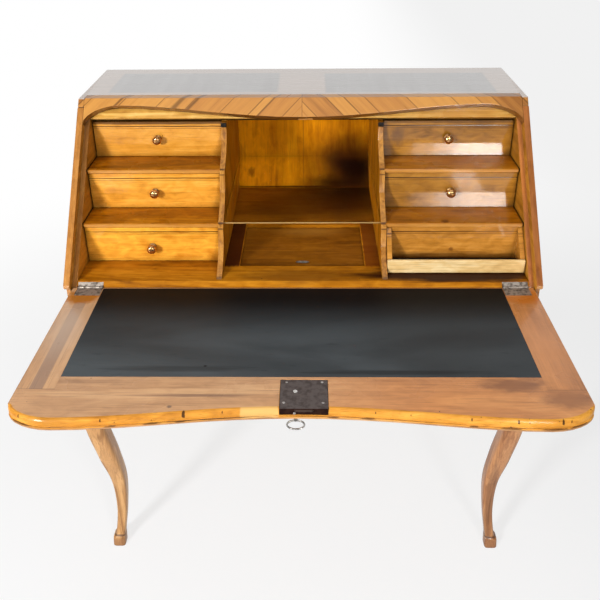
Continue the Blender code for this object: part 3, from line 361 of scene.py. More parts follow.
# Side panels
# Two walnut boards, each cut to the slant of the fall front, with a flush outer land and a rebate behind it.
# The slanted edges are lipped with a strip whose grain runs up the slope. Both are notched over the posts.
SLOPE = math.radians(50.8)
SLOPE_FOOT = Vector((0.0, -0.06231, 0.73738))
SLOPE_OUT = Vector((0.0, -math.sin(SLOPE), math.cos(SLOPE)))
GRAIN_TURN["slope"] = (-SLOPE, 0.0, -math.pi / 2)
WALNUT = ((0.22, 0.088, 0.022), (0.44, 0.195, 0.058), (0.60, 0.30, 0.10))
LIPPING = {
    "left": ((0.27, 0.100, 0.018), (0.47, 0.195, 0.042), (0.62, 0.29, 0.070)),
    "right": ((0.20, 0.062, 0.015), (0.38, 0.125, 0.028), (0.52, 0.185, 0.046)),
}
JOINT_X = 0.456
JOINT_Z = 1.02
OUTER_X = 0.477
TOP_Z = 1.0425


def is_flush(edge):
    """The edges where top board, slope rail and sides meet level on the slope are left sharp."""
    if any(abs((v.co - SLOPE_FOOT).dot(SLOPE_OUT)) > 1e-4 for v in edge.verts):
        return False
    at_top = all(v.co.z > TOP_Z for v in edge.verts)
    outside = all(abs(v.co.x) > OUTER_X for v in edge.verts)
    by_joint = all(v.co.z > JOINT_Z and abs(v.co.x) > JOINT_X for v in edge.verts)
    return by_joint and not at_top and not outside


def softened(node, name, materials, radius=0.0008, chooser=None, sharp=12.0, worn=None, crisp=None):
    """A copy of a CAD board with its arrises rubbed round, except where crisp says that one stays sharp.
    Worn rubs what wears most before that, and a chooser gives each face the number of its material."""
    shape = bmesh.new()
    shape.from_mesh(frame["nodes"][node].data)
    bmesh.ops.remove_doubles(shape, verts=shape.verts, dist=1e-6)
    if worn:
        worn(shape)
    arrises = [e for e in shape.edges if len(e.link_faces) == 2 and e.calc_face_angle() > 0.6
               and e.calc_length() > 6 * radius and not is_flush(e) and not (crisp and crisp(e))]
    bmesh.ops.bevel(shape, geom=arrises, offset=radius, segments=2, profile=0.5, affect='EDGES')
    bmesh.ops.triangulate(shape, faces=[f for f in shape.faces if len(f.verts) > 4])
    shape.normal_update()
    if chooser:
        for face in shape.faces:
            face.material_index = chooser(face)
    piece = solid(name, shape, materials[0], sharp)
    for material in materials[1:]:
        piece.data.materials.append(material)
    return piece


def faces_slope(face):
    return 1 if face.normal.dot(SLOPE_OUT) > 0.9 else 0


def side_surface(face):
    inward = -face.normal.x * face.calc_center_median().x
    return 2 if inward > 0.2 else faces_slope(face)


SIDE_INSIDE = ((0.26, 0.100, 0.006), (0.46, 0.190, 0.016), (0.62, 0.285, 0.034))
for hand, seed in (("left", 1.0), ("right", 4.3)):
    side_finishes = [
        wood("side_walnut_" + hand, WALNUT, "Y", seed, gloss=0.26),
        wood("side_lipping_" + hand, LIPPING[hand], "slope", 5.0 + seed, gloss=0.28, figure=1.3),
        wood("side_inside_walnut_" + hand, SIDE_INSIDE, "Y", 3.0 + seed, gloss=0.34, coat=0.15, lustre=0.1),
    ]
    panel = softened("side_panel_" + hand, "side_board_" + hand, side_finishes, chooser=side_surface)
    stand_for(panel, "side_panel_" + hand)

# Front rail, apron and bottom board
# Walnut rails framed between the front posts: a straight one under the fall front and a scrolled apron.
# The bottom board of the frieze is plain pine, nailed up into the sides.
front_walnut = wood("front_walnut", WALNUT, "X", 7.0, gloss=0.28)
PINE = ((0.40, 0.20, 0.06), (0.60, 0.37, 0.14), (0.74, 0.52, 0.24))


def polish(node, material):
    """The CAD solid keeps its shape and takes a finish."""
    frame["nodes"][node].material_slots[0].material = material


stand_for(softened("front_rail", "front_rail_board", [front_walnut]), "front_rail")
stand_for(softened("apron_front", "apron_board", [front_walnut]), "apron_front")
polish("frieze_bottom", wood("bottom_pine", PINE, "X", 9.0, gloss=0.55, coat=0.0, grime_and_shade=0.4))

# Frieze drawers
# Two shallow drawers behind the apron line, each a walnut front nailed to a pine box, with one brass knob.
# They slide on the bottom board between the well box and the posts.
frieze_walnut = wood("frieze_front_walnut", WALNUT, "X", 11.0, gloss=0.28)
box_pine = wood("drawer_pine", PINE, "Y", 12.0, gloss=0.5, coat=0.0, grime_and_shade=0.4)
KNOB_SIDES = 32
KNOB_PROFILE = (
    (0.0000, 0.0000), (0.0075, 0.0000), (0.0078, 0.0006), (0.0076, 0.0013), (0.0068, 0.0019),
    (0.0058, 0.0026), (0.0049, 0.0038), (0.0045, 0.0052), (0.0046, 0.0066), (0.0053, 0.0076),
    (0.0066, 0.0086), (0.0080, 0.0101), (0.0090, 0.0118), (0.0095, 0.0136), (0.0093, 0.0154),
    (0.0086, 0.0170), (0.0074, 0.0184), (0.0056, 0.0194), (0.0034, 0.0199), (0.0000, 0.0200),
)
SCRATCH_SCALE = (60.0, 1400.0, 1400.0)


def worn_fitting(name, colour, dull, roughness, metallic=1.0, pitted=0.0, lustre=0.5):
    """Old metal or hard leather: rubbed bright in places, dull in between, with fine scratches and pits."""
    finish = Finish(name, {"Metallic": metallic, "Specular IOR Level": lustre})
    place = finish.place()
    cloud = finish.noise(place, 130.0, 5.0)
    tarnish = finish.span(cloud, 0.42, 0.68)
    finish.join(finish.blend(tarnish, opaque(colour), opaque(dull)), "Base Color")
    finish.join(finish.span(cloud, 0.3, 0.7, roughness, roughness + 0.22), "Roughness")
    scratches = finish.noise(finish.stretched(place, SCRATCH_SCALE), 1.0, 2.0)
    pits = finish.span(finish.noise(place, 650.0, 1.0), 0.60, 0.75, 0.0, pitted)
    finish.relief(finish.sum('SUBTRACT', scratches, pits), 0.0003, 0.25)
    return finish.material


def lathe(name, profile, sides, material, centre, axis=Vector((0.0, -1.0, 0.0)), sharp=40.0):
    """A turned piece: a profile of (radius, height) spun about an axis that stands on its centre."""
    turn = axis.to_track_quat('Z', 'Y').to_matrix().to_4x4()
    shape = bmesh.new()
    rings = []
    for radius, height in profile:
        if radius == 0.0:
            rings.append([shape.verts.new((0.0, 0.0, height))])
        else:
            rings.append([shape.verts.new((radius * math.cos(2 * math.pi * n / sides),
                                           radius * math.sin(2 * math.pi * n / sides), height))
                          for n in range(sides)])
    for low, high in zip(rings, rings[1:]):
        for n in range(sides):
            corners = (low[n % len(low)], low[(n + 1) % len(low)],
                       high[(n + 1) % len(high)], high[n % len(high)])
            shape.faces.new(list(dict.fromkeys(corners)))
    shape.transform(Matrix.Translation(centre) @ turn)
    return solid(name, shape, material, sharp)


knob_brass = worn_fitting("knob_brass", (0.72, 0.42, 0.17), (0.34, 0.16, 0.06), 0.17)


def brass_knob(drawer):
    """The turned knob of a drawer, screwed into the middle of its front."""
    low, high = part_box(drawer + "_knob")
    foot = Vector(((low.x + high.x) / 2, high.y, (low.z + high.z) / 2))
    knob = lathe(drawer + "_turned_knob", KNOB_PROFILE, KNOB_SIDES, knob_brass, foot)
    stand_for(knob, drawer + "_knob")


for hand in HANDS:
    drawer = "frieze_drawer_" + hand
    polish(drawer + "_front", frieze_walnut)
    polish(drawer + "_box", box_pine)
    brass_knob(drawer)

# Lopers and their guides
# Two square walnut bars that draw out beside the posts to carry the open fall front, running in pine guides
# screwed to the inside of the case.
loper_walnut = wood("loper_walnut", WALNUT, "Y", 14.0, gloss=0.4, coat=0.15)
guide_pine = wood("guide_pine", PINE, "Y", 15.0, gloss=0.55, coat=0.0)
for hand in HANDS:
    polish("loper_" + hand, loper_walnut)
    polish("loper_guide_" + hand, guide_pine)

# Writing floor and the well below it
# A walnut board from side to side with a bevelled front edge, cut away in the middle over a pine well box.
# The well's cover is a thin walnut panel that slides back in grooves, drawn by a sunk oval finger pull.
INSIDE = ((0.21, 0.062, 0.001), (0.42, 0.145, 0.004), (0.58, 0.230, 0.012))
WELL_COVER = ((0.11, 0.033, 0.002), (0.20, 0.066, 0.003), (0.28, 0.105, 0.008))
FLOOR_LEVEL = 0.7355
FLOOR_MARKS = (
    ((-0.2858, -0.055, FLOOR_LEVEL), (0.007, 0.004, 0.01), (0.60, 0.34, 0.13), 0.7),
    ((-0.0799, -0.031, FLOOR_LEVEL), (0.003, 0.002, 0.01), (0.05, 0.015, 0.002), 0.9),
    ((-0.147, 0.120, FLOOR_LEVEL), (0.0175, 0.108, 0.02), (0.045, 0.007, 0.002), 0.95, 0.9, 0.1, True),
    ((0.147, 0.120, FLOOR_LEVEL), (0.0175, 0.108, 0.02), (0.14, 0.030, 0.003), 0.85, 0.9, 0.1, True),
    # The back of the floor is darker, and near black at the right with painted shadow of the right
    # partition.
    ((0.0, 0.320, FLOOR_LEVEL), (0.30, 0.16, 0.02), (0.075, 0.018, 0.001), 0.80, 0.2, 0.4),
    ((0.110, 0.390, FLOOR_LEVEL), (0.17, 0.19, 0.02), (0.010, 0.002, 0.001), 0.97, 0.1, 0.3),
    ((0.0, -0.020, FLOOR_LEVEL), (0.16, 0.03, 0.02), (0.20, 0.062, 0.003), 0.7),
    # Painted shadow under the tray rail.
    ((0.31, -0.015, FLOOR_LEVEL), (0.26, 0.036, 0.006), (0.022, 0.003, 0.001), 0.98, 0.5),
    ((-0.30, -0.067, FLOOR_LEVEL), (0.15, 0.0035, 0.006), (0.09, 0.024, 0.004), 0.75),
    ((-0.22, -0.073, FLOOR_LEVEL - 0.002), (0.09, 0.0025, 0.006), (0.05, 0.014, 0.003), 0.8),
)
COVER_MARKS = (((0.02, 0.185, 0.7285), (0.12, 0.035, 0.02), (0.34, 0.150, 0.020), 0.6, 0.0, 0.4),)
polish("desk_floor", wood("floor_walnut", INSIDE, "X", 17.0, gloss=0.40, coat=0.1, lustre=0.06, grime_and_shade=0.4,
                          reach=0.04, worm=0.10, marks=FLOOR_MARKS))
polish("well_box", box_pine)
polish("well_lid", wood("well_cover_walnut", WELL_COVER, "X", 19.0, gloss=0.40, coat=0.1, lustre=0.06,
                        reach=0.04, marks=COVER_MARKS))
DISH_CENTRE = Vector((0.0, 0.0466, 0.7285))
DISH_SIDES = 32
DISH_RINGS = (
    (0.0144, 0.0054, 0.0002),
    (0.0132, 0.0043, 0.0003),
    (0.0122, 0.0035, -0.0006),
    (0.0090, 0.0022, -0.0022),
)


def oval(shape, centre, half_x, half_y, height, sides):
    """A level ring of corners round a centre."""
    turns = [2 * math.pi * n / sides for n in range(sides)]
    return [shape.verts.new(centre + Vector((half_x * math.cos(turn), half_y * math.sin(turn), height)))
            for turn in turns]


def skin_rings(shape, rings):
    """Faces between each ring of corners and the next."""
    for low, high in zip(rings, rings[1:]):
        for n in range(len(low)):
            shape.faces.new((low[n - 1], low[n], high[n], high[n - 1]))


dish = bmesh.new()
dish_rings = [oval(dish, DISH_CENTRE, *ring, DISH_SIDES) for ring in DISH_RINGS]
skin_rings(dish, dish_rings)
dish.faces.new(dish_rings[-1])
pull_iron = worn_fitting("pull_iron", (0.20, 0.17, 0.14), (0.07, 0.055, 0.045), 0.30, 0.8)
fit(solid("well_pull_dish", dish, pull_iron), "well_lid")

# Back panel
# Two wide walnut boards with upright grain, joined at the middle and nailed into the rebate of the sides.
# The right-hand board carries a dark heart stain low down, deepened with painted shadow; both show a cross
# ripple.
BACK = ((0.46, 0.135, 0.001), (0.76, 0.270, 0.002), (0.92, 0.39, 0.005))
BACK_MARKS = (
    # The first three marks are the heart stain, deepened with painted shadow of the right partition.
    ((0.115, 0.405, 0.800), (0.160, 0.05, 0.175), (0.11, 0.022, 0.001), 0.95, 0.0, 0.4),
    ((0.125, 0.405, 0.780), (0.145, 0.05, 0.140), (0.003, 0.0004, 0.0004), 0.99, 0.1, 0.5),
    ((0.100, 0.405, 0.744), (0.15, 0.05, 0.034), (0.006, 0.001, 0.0004), 0.95, 0.1, 0.3),
    ((-0.130, 0.405, 0.775), (0.012, 0.05, 0.018), (0.20, 0.045, 0.002), 0.7),
    ((-0.060, 0.405, 0.970), (0.050, 0.05, 0.016), (0.26, 0.070, 0.002), 0.7),
    ((0.0, 0.405, 0.738), (0.30, 0.05, 0.0035), (0.03, 0.006, 0.001), 0.9),
    ((0.0, 0.405, 0.87), (0.0014, 0.05, 0.4), (0.30, 0.10, 0.008), 0.6),
)
back_walnut = wood("back_walnut", BACK, "Z", 22.0, gloss=0.40, coat=0.0, streaks=0.2, grime_and_shade=0.3, reach=0.03,
                   marks=BACK_MARKS, lustre=0.06)
BACK_OUTSIDE = ((0.17, 0.085, 0.036), (0.29, 0.160, 0.075), (0.40, 0.24, 0.125))
OUTSIDE_JOINT = ((0.0, 0.425, 0.87), (0.0014, 0.05, 0.4), (0.03, 0.012, 0.005), 0.8)
back_outside = wood("back_outside_walnut", BACK_OUTSIDE, "Z", 23.5, gloss=0.6, coat=0.0, worm=0.10,
                    lustre=0.1, marks=(OUTSIDE_JOINT,))


def polished_side(face):
    return 0 if face.normal.y < -0.5 else 1


stand_for(softened("back_panel", "back_boards", [back_walnut, back_outside], chooser=polished_side),
          "back_panel")

# Partitions, shelves and glass
# Two thin upright boards with scalloped front edges stand between floor and stop rail, with a buffer of hard
# leather glued to the head of each. The shelves for the drawers are housed in them and in the sides, and a
# clear glass shelf lies in their grooves across the middle.
PARTITION_EDGE = ((0.20, 0.070, 0.008), (0.44, 0.180, 0.024), (0.60, 0.28, 0.052))
PARTITION_X = 0.1655
SHELF_LEVELS = {"lower": 0.82412, "upper": 0.91273}
SHELF_NOSES = {"lower": 0.03582, "upper": 0.10809}
SHELF_THICK = 0.009
JOINT_DIRT = (0.05, 0.015, 0.004)
BUFFER_SIZE = (0.0116, 0.0090, 0.0060)
BUFFER_PLACE = (0.1732, 0.9875)
BUFFER_ROUND = 0.0016
buffer_leather = worn_fitting("buffer_leather", (0.022, 0.019, 0.017), (0.008, 0.007, 0.006), 0.62,
                              metallic=0.0, pitted=0.6, lustre=0.15)


def faces_front(face):
    return 1 if face.normal.y < -0.35 else 0


for hand, way in HANDS.items():
    # The foot of each front edge is darkened as painted shade.
    edge_marks = [((way * PARTITION_X, -0.047, 0.741), (0.02, 0.025, 0.010), (0.035, 0.010, 0.004), 0.9)]
    for level in SHELF_LEVELS.values():
        for joint, height, strength in ((level, 0.0022, 0.85), (level - SHELF_THICK, 0.0018, 0.7)):
            edge_marks.append(((way * PARTITION_X, 0.06, joint), (0.03, 0.2, height), JOINT_DIRT, strength))
    partition_walnut = wood("partition_walnut_" + hand, INSIDE, "Z", 25.0 + way, gloss=0.36, coat=0.1,
                            lustre=0.08, reach=0.03)
    partition_lipping = wood("partition_lipping_" + hand, PARTITION_EDGE, "Z", 26.0 + way, gloss=0.34,
                             coat=0.2, figure=2.0, grime_and_shade=0.3, worm=0.15, marks=edge_marks)
    board = softened("partition_" + hand, "partition_board_" + hand, [partition_walnut, partition_lipping],
                     radius=0.0006, chooser=faces_front)
    stand_for(board, "partition_" + hand)
    scrap = bmesh.new()
    bmesh.ops.create_cube(scrap, size=1.0)
    laid = Matrix.Translation((way * PARTITION_X, *BUFFER_PLACE)) @ Matrix.Rotation(SLOPE, 4, 'X')
    scrap.transform(laid @ Matrix.Diagonal((*BUFFER_SIZE, 1.0)))
    bmesh.ops.bevel(scrap, geom=scrap.edges[:], offset=BUFFER_ROUND, segments=3, profile=0.5, affect='EDGES')
    fit(solid("partition_buffer_" + hand, scrap, buffer_leather), "partition_" + hand)
SHELF = ((0.17, 0.047, 0.001), (0.36, 0.112, 0.002), (0.54, 0.195, 0.005))
SHELF_COAT = {"left": 0.35, "right": 1.0}
SHELF_DROP = math.tan(math.radians(2.5))


def side_gap(way):
    """The dark joint where shelves and drawers end against the side of the case."""
    return ((way * 0.448, 0.1, 0.86), (0.0040, 0.6, 0.6), (0.012, 0.003, 0.001), 0.95)


SHELF_KNOTS = {
    "lower_right": ((0.291, 0.047, SHELF_LEVELS["lower"]), (0.012, 0.009, 0.02), (0.10, 0.025, 0.004), 0.8),
    "upper_left": ((-0.298, 0.141, SHELF_LEVELS["upper"]), (0.007, 0.003, 0.02), (0.14, 0.04, 0.005), 0.8),
}
NOSE_BELOW = 0.004
# The front of each shelf nose is paler.
NOSE_PALE = (0.66, 0.32, 0.075)
for seed, shelf in enumerate(("lower_left", "lower_right", "upper_left", "upper_right")):
    level, hand = shelf.split("_")
    nose = (HANDS[hand] * 0.31, SHELF_NOSES[level] - NOSE_BELOW, SHELF_LEVELS[level] - NOSE_BELOW)
    shelf_marks = [(nose, (0.30, 0.009, 0.012), NOSE_PALE, 0.75)]
    if shelf in SHELF_KNOTS:
        shelf_marks.append(SHELF_KNOTS[shelf])
    shelf_marks.append(side_gap(HANDS[hand]))
    shelf_walnut = wood("shelf_walnut_" + shelf, SHELF, "X", 28.0 + 1.7 * seed, gloss=0.28,
                        coat=SHELF_COAT[hand], shine=0.05, reach=0.03, marks=shelf_marks, drop=SHELF_DROP,
                        lustre=0.08)
    polish(level + "_shelf_" + hand, shelf_walnut)
glass = Finish("shelf_glass", {"Base Color": (1.0, 1.0, 1.0, 1.0), "Transmission Weight": 1.0, "IOR": 1.05})
smear = glass.noise(glass.place(), 22.0, 4.0)
glass.join(glass.span(smear, 0.45, 0.75, 0.0, 0.06), "Roughness")
clear = glass.add("BsdfTransparent", {"Color": (0.98, 0.99, 0.98, 1.0)})
glass.give_way(glass.add("LightPath", {}).outputs["Is Shadow Ray"], clear)
GLASS_EDGE = ((0.34, 0.20, 0.06), (0.50, 0.32, 0.12), (0.66, 0.46, 0.22))
glass_front = wood("glass_ground_edge", GLASS_EDGE, "X", 30.0, gloss=0.2, coat=0.8)


def glass_edge(face):
    return 1 if face.normal.y < -0.9 else 0


stand_for(softened("glass_shelf", "glass_shelf_pane", [glass.material, glass_front], radius=0.0003,
                   chooser=glass_edge), "glass_shelf")

# Small drawers and the pen tray
# Five walnut-fronted drawers with a scribed line along the top and one turned brass knob, on pine boxes.
# The tray at the lower right is an open pen trough behind a low pine rail, its old knob hole plugged.
DRAWER = {
    "left": ((0.36, 0.130, 0.009), (0.61, 0.260, 0.028), (0.78, 0.38, 0.065)),
    "right": ((0.18, 0.070, 0.007), (0.40, 0.170, 0.018), (0.58, 0.27, 0.038)),
}
# The left drawers are painted paler, the lower ones most: painted light.
DRAWER_PAINTED_LIGHT = {"top_left": 1.06, "middle_left": 1.28, "bottom_left": 1.75}
DRAWER_COAT = {"left": 0.30, "right": 1.0}
DRAWER_COAT_IOR = 1.6
DRAWER_SHINE = {"middle_right": 0.09}
DRAWER_LINES = {"top": 0.9817, "middle": 0.8931, "bottom": 0.8045}
# Colour of the painted shadow that the stop rail casts along the tops of the top drawers.
STOP_RAIL_SHADOW = (0.05, 0.016, 0.003)
DRAWER_MARKS = {
    "top_left": [((-0.31, 0.18, 0.9905), (0.30, 0.05, 0.0070), STOP_RAIL_SHADOW, 0.85, 0.5, 0.4)],
    "top_right": [((0.203, 0.184, 0.955), (0.020, 0.02, 0.030), (0.12, 0.05, 0.018), 0.6),
                  ((0.31, 0.18, 0.9905), (0.30, 0.05, 0.0060), STOP_RAIL_SHADOW, 0.6, 0.5, 0.4)],
}
BEAD = 0.0052


def scribed(tier):
    """The dirt in the line cut along the top of a drawer front, and in a fainter one below it."""
    line = DRAWER_LINES[tier]
    return [((0.0, 0.1, line - 0.0006), (0.9, 0.4, 0.0020), (0.07, 0.020, 0.004), 0.85),
            ((0.0, 0.1, line - BEAD), (0.9, 0.4, 0.0014), (0.12, 0.038, 0.006), 0.6)]


for seed, name in enumerate(("top_left", "middle_left", "bottom_left", "top_right", "middle_right")):
    tier, hand = name.split("_")
    drawer = tier + "_drawer_" + hand
    drawer_marks = scribed(tier) + DRAWER_MARKS.get(name, []) + [side_gap(HANDS[hand])]
    painted_light = DRAWER_PAINTED_LIGHT.get(name, 1.0)
    drawer_tones = [[min(0.95, painted_light * part) for part in tone] for tone in DRAWER[hand]]
    drawer_walnut = wood("drawer_walnut_" + name, drawer_tones, "X", 34.0 + 2.3 * seed, gloss=0.26,
                         coat=DRAWER_COAT[hand], shine=DRAWER_SHINE.get(name, 0.06), streaks=0.12,
                         grime_and_shade=0.75, reach=0.03, worm=0.05, marks=drawer_marks, lustre=0.10)
    drawer_walnut.node_tree.nodes["Principled BSDF"].inputs["Coat IOR"].default_value = DRAWER_COAT_IOR
    polish(drawer + "_front", drawer_walnut)
    polish(drawer + "_box", box_pine)
    brass_knob(drawer)
TRAY_MARKS = scribed("bottom") + [
    ((0.3068, 0.040, 0.7631), (0.0065, 0.02, 0.0065), (0.16, 0.05, 0.010), 0.7),
    ((0.31, 0.02, 0.742), (0.30, 0.05, 0.020), (0.05, 0.012, 0.002), 0.9),
]
TRAY = ((0.28, 0.105, 0.010), (0.54, 0.225, 0.032), (0.76, 0.36, 0.072))
tray_walnut = wood("tray_walnut", TRAY, "X", 47.0, gloss=0.24, coat=0.8, shine=0.06, streaks=0.12,
                   reach=0.04, marks=TRAY_MARKS, lustre=0.1)
# The inside floor of the tray is painted near black: painted shade.
TRAY_FLOOR_SHADE = ((0.010, 0.004, 0.002), (0.020, 0.008, 0.003), (0.035, 0.014, 0.005))
TRAY_INSIDE_TOP = 0.765
tray_floor_shade = wood("tray_inside_pine", TRAY_FLOOR_SHADE, "X", 48.0, gloss=0.6, coat=0.0)


def tray_surface(face):
    return 1 if face.normal.z > 0.5 and face.calc_center_median().z < TRAY_INSIDE_TOP else 0


stand_for(softened("tray_drawer_box", "tray_drawer_walls", [tray_walnut, tray_floor_shade], radius=0.0006,
                   chooser=tray_surface), "tray_drawer_box")
TRAY_PINE = ((0.52, 0.29, 0.085), (0.76, 0.51, 0.21), (0.88, 0.69, 0.38))
tray_pine = wood("tray_pine", TRAY_PINE, "X", 49.0, gloss=0.34, coat=0.2, figure=1.3, streaks=0.3)
polish("tray_drawer_rail", tray_pine)

# Stop rail and slope rail
# The slope rail closes the desk above the fall front. It is faced with strips of walnut veneer laid in a
# chevron that meets at the middle, and its serpentine lower edge matches the lid. A plain rail behind it
# stops the lid.
STOP = ((0.36, 0.15, 0.016), (0.66, 0.34, 0.060), (0.84, 0.52, 0.145))
# Painted shadow, near black, along the lower edge of the stop rail.
SHADOW_UNDER_STOP_RAIL = ((0.0, 0.178, 0.9935), (0.9, 0.05, 0.0068), (0.008, 0.003, 0.001), 0.97, 0.5)
STOP_BROWN = ((0.34, 0.17, 1.008), (0.17, 0.05, 0.03), (0.48, 0.21, 0.032), 0.7, 0.3, 0.4)
polish("lid_stop_rail", wood("stop_walnut", STOP, "X", 52.0, gloss=0.3, figure=2.0, streaks=0.6,
                             marks=(SHADOW_UNDER_STOP_RAIL, STOP_BROWN)))
BAND = ((0.27, 0.100, 0.022), (0.47, 0.195, 0.042), (0.60, 0.275, 0.058))
CHEVRON_LEAN = 0.9
STRIP_WIDTH = 0.070


def chevron(name, tones, gloss):
    """Strips of veneer leaning away from the middle of the desk, each with its own tone."""
    dark, middle, light = tones
    finish = Finish(name, {"Coat Weight": 0.3, "Coat Roughness": 0.15, "Specular IOR Level": 0.25})
    place = finish.place()
    level = finish.turned(place, (-SLOPE, 0.0, 0.0))
    axes = finish.add("SeparateXYZ", {0: level})
    out = finish.sum('ABSOLUTE', axes.outputs["X"])
    lean = finish.sum('MULTIPLY', axes.outputs["Y"], CHEVRON_LEAN)
    across = finish.sum('ADD', out, lean)
    down = finish.sum('SUBTRACT', axes.outputs["Y"], out)
    hand = finish.sum('SIGN', axes.outputs["X"])
    strip = finish.add("CombineXYZ", {0: finish.sum('DIVIDE', across, STRIP_WIDTH), 1: hand})
    uneven = {"Vector": strip.outputs[0], "Scale": 1.0, "Randomness": 0.8}
    strips = finish.add("TexVoronoi", uneven, voronoi_dimensions='2D')
    own = finish.add("SeparateColor", {0: strips.outputs["Color"]}).outputs[0]
    grain = finish.add("CombineXYZ", {0: across, 1: down, 2: hand}).outputs[0]
    fibre = finish.noise(finish.stretched(grain, (420.0, 12.0, 1.0)), 1.0, 3.0)
    broad = finish.noise(finish.stretched(grain, (75.0, 5.0, 1.0)), 1.0, 3.0)
    tone = finish.weighed((own, 0.34), (fibre, 0.22), (broad, 0.48))
    colour = finish.ramp(tone, ((0.26, dark), (0.46, middle), (0.70, light)))
    edges = finish.add("TexVoronoi", uneven, voronoi_dimensions='2D', feature='DISTANCE_TO_EDGE').outputs[0]
    for seam in (finish.span(edges, 0.022, 0.006, 0.0, 0.7), finish.span(out, 0.0011, 0.0003, 0.0, 0.6)):
        colour = finish.blend(seam, colour, opaque(dark, 0.35))
    finish.join(colour, "Base Color")
    finish.join(finish.span(broad, 0.3, 0.7, gloss - 0.05, gloss + 0.1), "Roughness")
    finish.relief(fibre, 0.0004, 0.3)
    return finish.material


band_veneer = chevron("band_veneer", BAND, 0.32)
# The underside and edges of the rail take darker walnut; part of that depth of tone is painted shade.
BAND_EDGE = ((0.10, 0.034, 0.006), (0.25, 0.095, 0.016), (0.42, 0.180, 0.034))
band_edge = wood("band_edge_walnut", BAND_EDGE, "X", 55.0, gloss=0.3)


def faces_under(face):
    return 0 if face.normal.dot(SLOPE_OUT) > 0.5 else 1


stand_for(softened("slope_rail", "slope_rail_board", [band_veneer, band_edge], chooser=faces_under),
          "slope_rail")

# Top board
# A narrow board flush with the sides, veneered with two panels inside a wide border. Long in the light, its
# polish has bleached and bloomed to a pale grey tan.
TOP = ((0.53, 0.425, 0.355), (0.58, 0.47, 0.40), (0.63, 0.525, 0.455))
top_finish = Finish("top_bloomed_walnut", {"Coat Weight": 0.9, "Coat Roughness": 0.10})
top_place = top_finish.place()
top_grain = top_finish.noise(top_finish.stretched(top_place, (3.0, 60.0, 60.0)), 1.0, 4.0, 0.4)
top_colour = top_finish.ramp(top_grain, ((0.30, TOP[0]), (0.50, TOP[1]), (0.70, TOP[2])))
PANEL_PLACES = ((-0.235, 0.303), (0.232, 0.297))
PANEL_HALF = (0.182, 0.076)
PANEL_FADE = 0.004
PANEL_TONES = ((0.35, (0.30, 0.295, 0.29)), (0.65, (0.38, 0.375, 0.37)))
top_axes = top_finish.add("SeparateXYZ", {0: top_place})
for panel_x, panel_y in PANEL_PLACES:
    off_x = top_finish.off(top_axes.outputs["X"], panel_x)
    off_y = top_finish.off(top_axes.outputs["Y"], panel_y)
    within_x = top_finish.span(off_x, PANEL_HALF[0] + PANEL_FADE, PANEL_HALF[0] - PANEL_FADE, 0.0, 0.8)
    within_y = top_finish.span(off_y, PANEL_HALF[1] + PANEL_FADE, PANEL_HALF[1] - PANEL_FADE)
    laid_across = top_finish.stretched(top_place, (30.0, 3.0, 3.0), (panel_x, 0.0, 0.0))
    panel = top_finish.ramp(top_finish.noise(laid_across, 1.0, 3.0), PANEL_TONES)
    top_colour = top_finish.blend(top_finish.sum('MULTIPLY', within_x, within_y), top_colour, panel)
top_finish.join(top_colour, "Base Color")
top_finish.join(top_finish.span(top_grain, 0.3, 0.7, 0.18, 0.30), "Roughness")
top_finish.relief(top_grain, 0.0003, 0.2)


def top_surface(face):
    if face.normal.z > 0.75:
        return 1
    return 2 * faces_slope(face)


stand_for(softened("top_board", "top_veneered_board", [front_walnut, top_finish.material, band_veneer],
                   chooser=top_surface), "top_board")

# Fall front
# A walnut board clamped at each end, with a serpentine free edge and a thin lip left on its outer face that
# covers the joint when it is shut. It is chipped, wormed and rubbed along the edge.
LID = ((0.36, 0.178, 0.079), (0.58, 0.308, 0.140), (0.73, 0.425, 0.208))
LID_WARM = (1.06, 0.80, 0.53)
LID_FACE = 0.726
LIP_TOP = 0.7118
LID_EDGE = ((0.38, 0.135, 0.013), (0.63, 0.265, 0.032), (0.79, 0.375, 0.060))
LID_MARKS = (
    ((-0.2016, -0.392, LID_FACE), (0.0055, 0.004, 0.01), (0.13, 0.08, 0.055), 0.8),
    ((0.345, -0.340, LID_FACE), (0.07, 0.022, 0.02), (0.16, 0.070, 0.036), 0.7),
    ((0.425, -0.372, LID_FACE), (0.06, 0.030, 0.02), (0.20, 0.09, 0.045), 0.7),
    ((-0.165, -0.366, LID_FACE), (0.15, 0.0055, 0.02), (0.19, 0.092, 0.050), 0.75, 0.2, 1.0),
    # A pale grey tone on the left clamp is a painted sheen.
    ((-0.425, -0.170, LID_FACE), (0.06, 0.14, 0.02), (0.64, 0.47, 0.34), 0.55, 0.0, 0.3),
    # Amber at the back corners of the clamps is a painted reflection of the desk's inside.
    ((-0.428, -0.084, LID_FACE), (0.050, 0.026, 0.02), (0.46, 0.155, 0.012), 0.95, 0.5),
    ((0.428, -0.084, LID_FACE), (0.050, 0.028, 0.02), (0.52, 0.190, 0.022), 0.95, 0.5),
    ((0.425, -0.240, LID_FACE), (0.06, 0.17, 0.02), (0.72, 0.39, 0.20), 0.60, 0.0, 0.3),
)
CLAMP_FROM = 0.3937
CLAMP_END = -0.3515
HEART_STRIP = (-0.425, 0.011)
HEART_WOOD = (0.27, 0.155, 0.10)
SEAM_DIRT = (0.10, 0.04, 0.015)
lid_finish = Finish("lid_walnut", {"Coat Weight": 0.5, "Coat Roughness": 0.10, "Specular IOR Level": 0.25})
lid_place = lid_finish.place()
lid_axes = lid_finish.add("SeparateXYZ", {0: lid_place}).outputs
rail_colour, rail_surface = figured(lid_finish, lid_place, LID, "X", 61.0, 0.8, 0.25, 0.20)
clamp_colour = figured(lid_finish, lid_place, LID, "Y", 65.0, 0.8, 0.15, 0.20)[0]
off_strip = lid_finish.off(lid_axes["X"], HEART_STRIP[0])
in_strip = lid_finish.span(off_strip, HEART_STRIP[1] + 0.0015, HEART_STRIP[1] - 0.0015, 0.0, 0.75)
